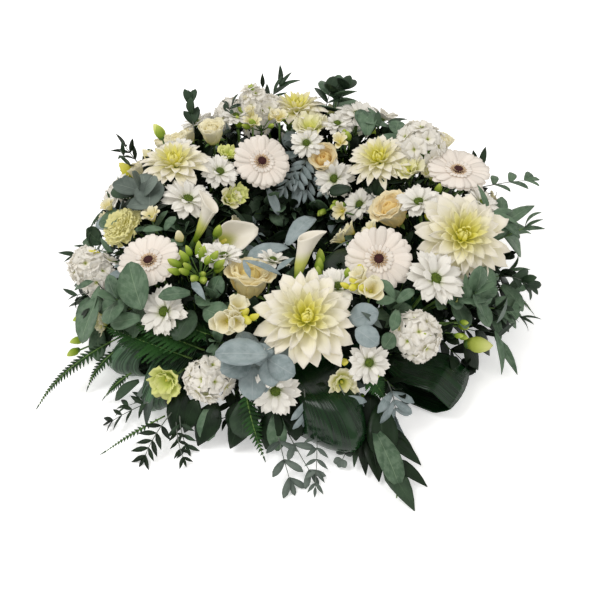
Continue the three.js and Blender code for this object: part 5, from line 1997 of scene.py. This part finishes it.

# %% [markdown]
# ## Dark filler round the ring
# The foam must not show, so florists cover it with short dark sprigs first. Their near-black colour is
# partly painted shade, the darkness of the deep gaps between the heads. These go all round the ring, from
# the outer edge over the top to the hole, a little shorter than the flowers. Only the loops are kept clear.
# Eighths of the ring make eight pieces, so that none has too many triangles.

# %% Filler sprigs
# The lean and reach of each ring of sprigs, and the degrees between one sprig and the next.
FILLER_RINGS = (
    (-8, 94, 9), (12, 86, 9), (34, 82, 10), (58, 78, 11), (84, 76, 12), (112, 76, 13), (140, 78, 13),
    (164, 90, 12), (182, 118, 9),
)
FILLER_LEAVES = ([lance_leaf, lance_leaf_bent], [oval_leaf], [oval_leaf, lance_leaf])
LOOP_CLOCKS = (216, 235, 280, 308)
rng = random.Random("filler")
filler = {eighth: Bunch() for eighth in range(8)}
for ring, (lean, reach, step) in enumerate(FILLER_RINGS):
    start = ring * 3.7
    clock = start
    while clock < 360 + start:
        turn = clock + rng.uniform(-3, 3)
        clock += step
        if lean < 40 and min(abs(turn % 360 - loop) for loop in LOOP_CLOCKS) < 11 - 0.12 * lean:
            continue
        length = reach * rng.uniform(0.88, 1.1)
        tilt = lean + rng.uniform(-7, 7)
        route = sprig_route(turn, tilt, length, rng.uniform(-14, 14), rng.uniform(-6, 6), 5)
        leaves = rng.choice(FILLER_LEAVES)
        if inside_a_head(route[-1], 0.6):
            continue
        leaf_length = rng.uniform(28, 38)
        splay = rng.uniform(45, 66)
        flat = rng.uniform(0, 0.6)
        sprig(
            filler[int(turn % 360 // 45)], route, rng, leaves, leaf_length, splay=splay, pairs=4, bare=0.3,
            finish="filler_leaf", flat=flat, twist=80, stem=1.1, shrink=0.3,
        )
for eighth, bunch in filler.items():
    make_piece(f"filler_leaves_{eighth}", bunch, "eucalyptus")
print("filler triangles:", sum(bunch.triangles() for bunch in filler.values()))

# %% [markdown]
# ## Foam and tray
# Wet floral foam comes as a ring with rounded shoulders, in a shallow green plastic tray. Both are turned:
# a profile is spun round the axis. The CAD solids have flat facets, so smoother ones stand for them.

# %% Turned rings


SHARP_EDGE = math.radians(35)


def turned_piece(name, profile, steps, slot, finish, *nodes):
    """Spins a closed profile of (radius, height) in millimetres round the axis."""
    mesh = bpy.data.meshes.new(name)
    count = len(profile)
    points = [(radius * MM, 0, height * MM) for radius, height in profile]
    mesh.from_pydata(points, [(k, (k + 1) % count) for k in range(count)], [])
    item = bpy.data.objects.new(name, mesh)
    bpy.context.collection.objects.link(item)
    bpy.context.view_layer.objects.active = item
    item.select_set(True)
    bpy.ops.object.mode_set(mode="EDIT")
    bpy.ops.mesh.select_all(action="SELECT")
    bpy.ops.mesh.spin(steps=steps, angle=2 * math.pi, center=(0, 0, 0), axis=(0, 0, 1))
    bpy.ops.mesh.select_all(action="SELECT")
    bpy.ops.mesh.remove_doubles(threshold=1e-5)
    bpy.ops.mesh.normals_make_consistent(inside=False)
    bpy.ops.object.mode_set(mode="OBJECT")
    bpy.ops.object.shade_smooth_by_angle(angle=SHARP_EDGE)
    mesh.materials.append(bpy.data.materials[finish])
    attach(item, "root")
    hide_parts(*nodes)
    item.select_set(False)


mottled_finish("foam_green", (22, 58, 34), (44, 92, 52), 0.95, 900, 1.2 * MM)
mottled_finish("tray_plastic", (18, 44, 28), (26, 58, 36), 0.4, 40, 0.05 * MM)


def rounded(corners, radius, steps=4):
    """Replaces each sharp corner of a profile by a short arc."""
    result = []
    points = [np.array(corner, dtype=float) for corner in corners]
    for before, here, after in zip(points[-1:] + points, points, points[1:] + points[:1]):
        one = here + (before - here) / np.linalg.norm(before - here) * radius
        other = here + (after - here) / np.linalg.norm(after - here) * radius
        for share in np.linspace(0, 1, steps + 1):
            arc = (1 - share) ** 2 * one + 2 * share * (1 - share) * here + share**2 * other
            result.append(tuple(arc))
    return result


foam_corners = [(190, 3), (190, 36), (172, 51.5), (144, 51.5), (126, 36), (126, 3)]
turned_piece("foam_ring", rounded(foam_corners, 6), 96, "foam", "foam_green", "floral_foam_ring")
tray_corners = [
    (123.4, 0.6), (192.6, 0.6), (192.6, 13), (190.8, 13), (190.8, 2.6), (125.2, 2.6), (125.2, 13),
    (123.4, 13),
]
turned_piece("tray", rounded(tray_corners, 0.7, 3), 120, "tray", "tray_plastic", "ring_tray")
print("foam and tray made")

# %% [markdown]
# ## Finish

# %% Finish
print("done")
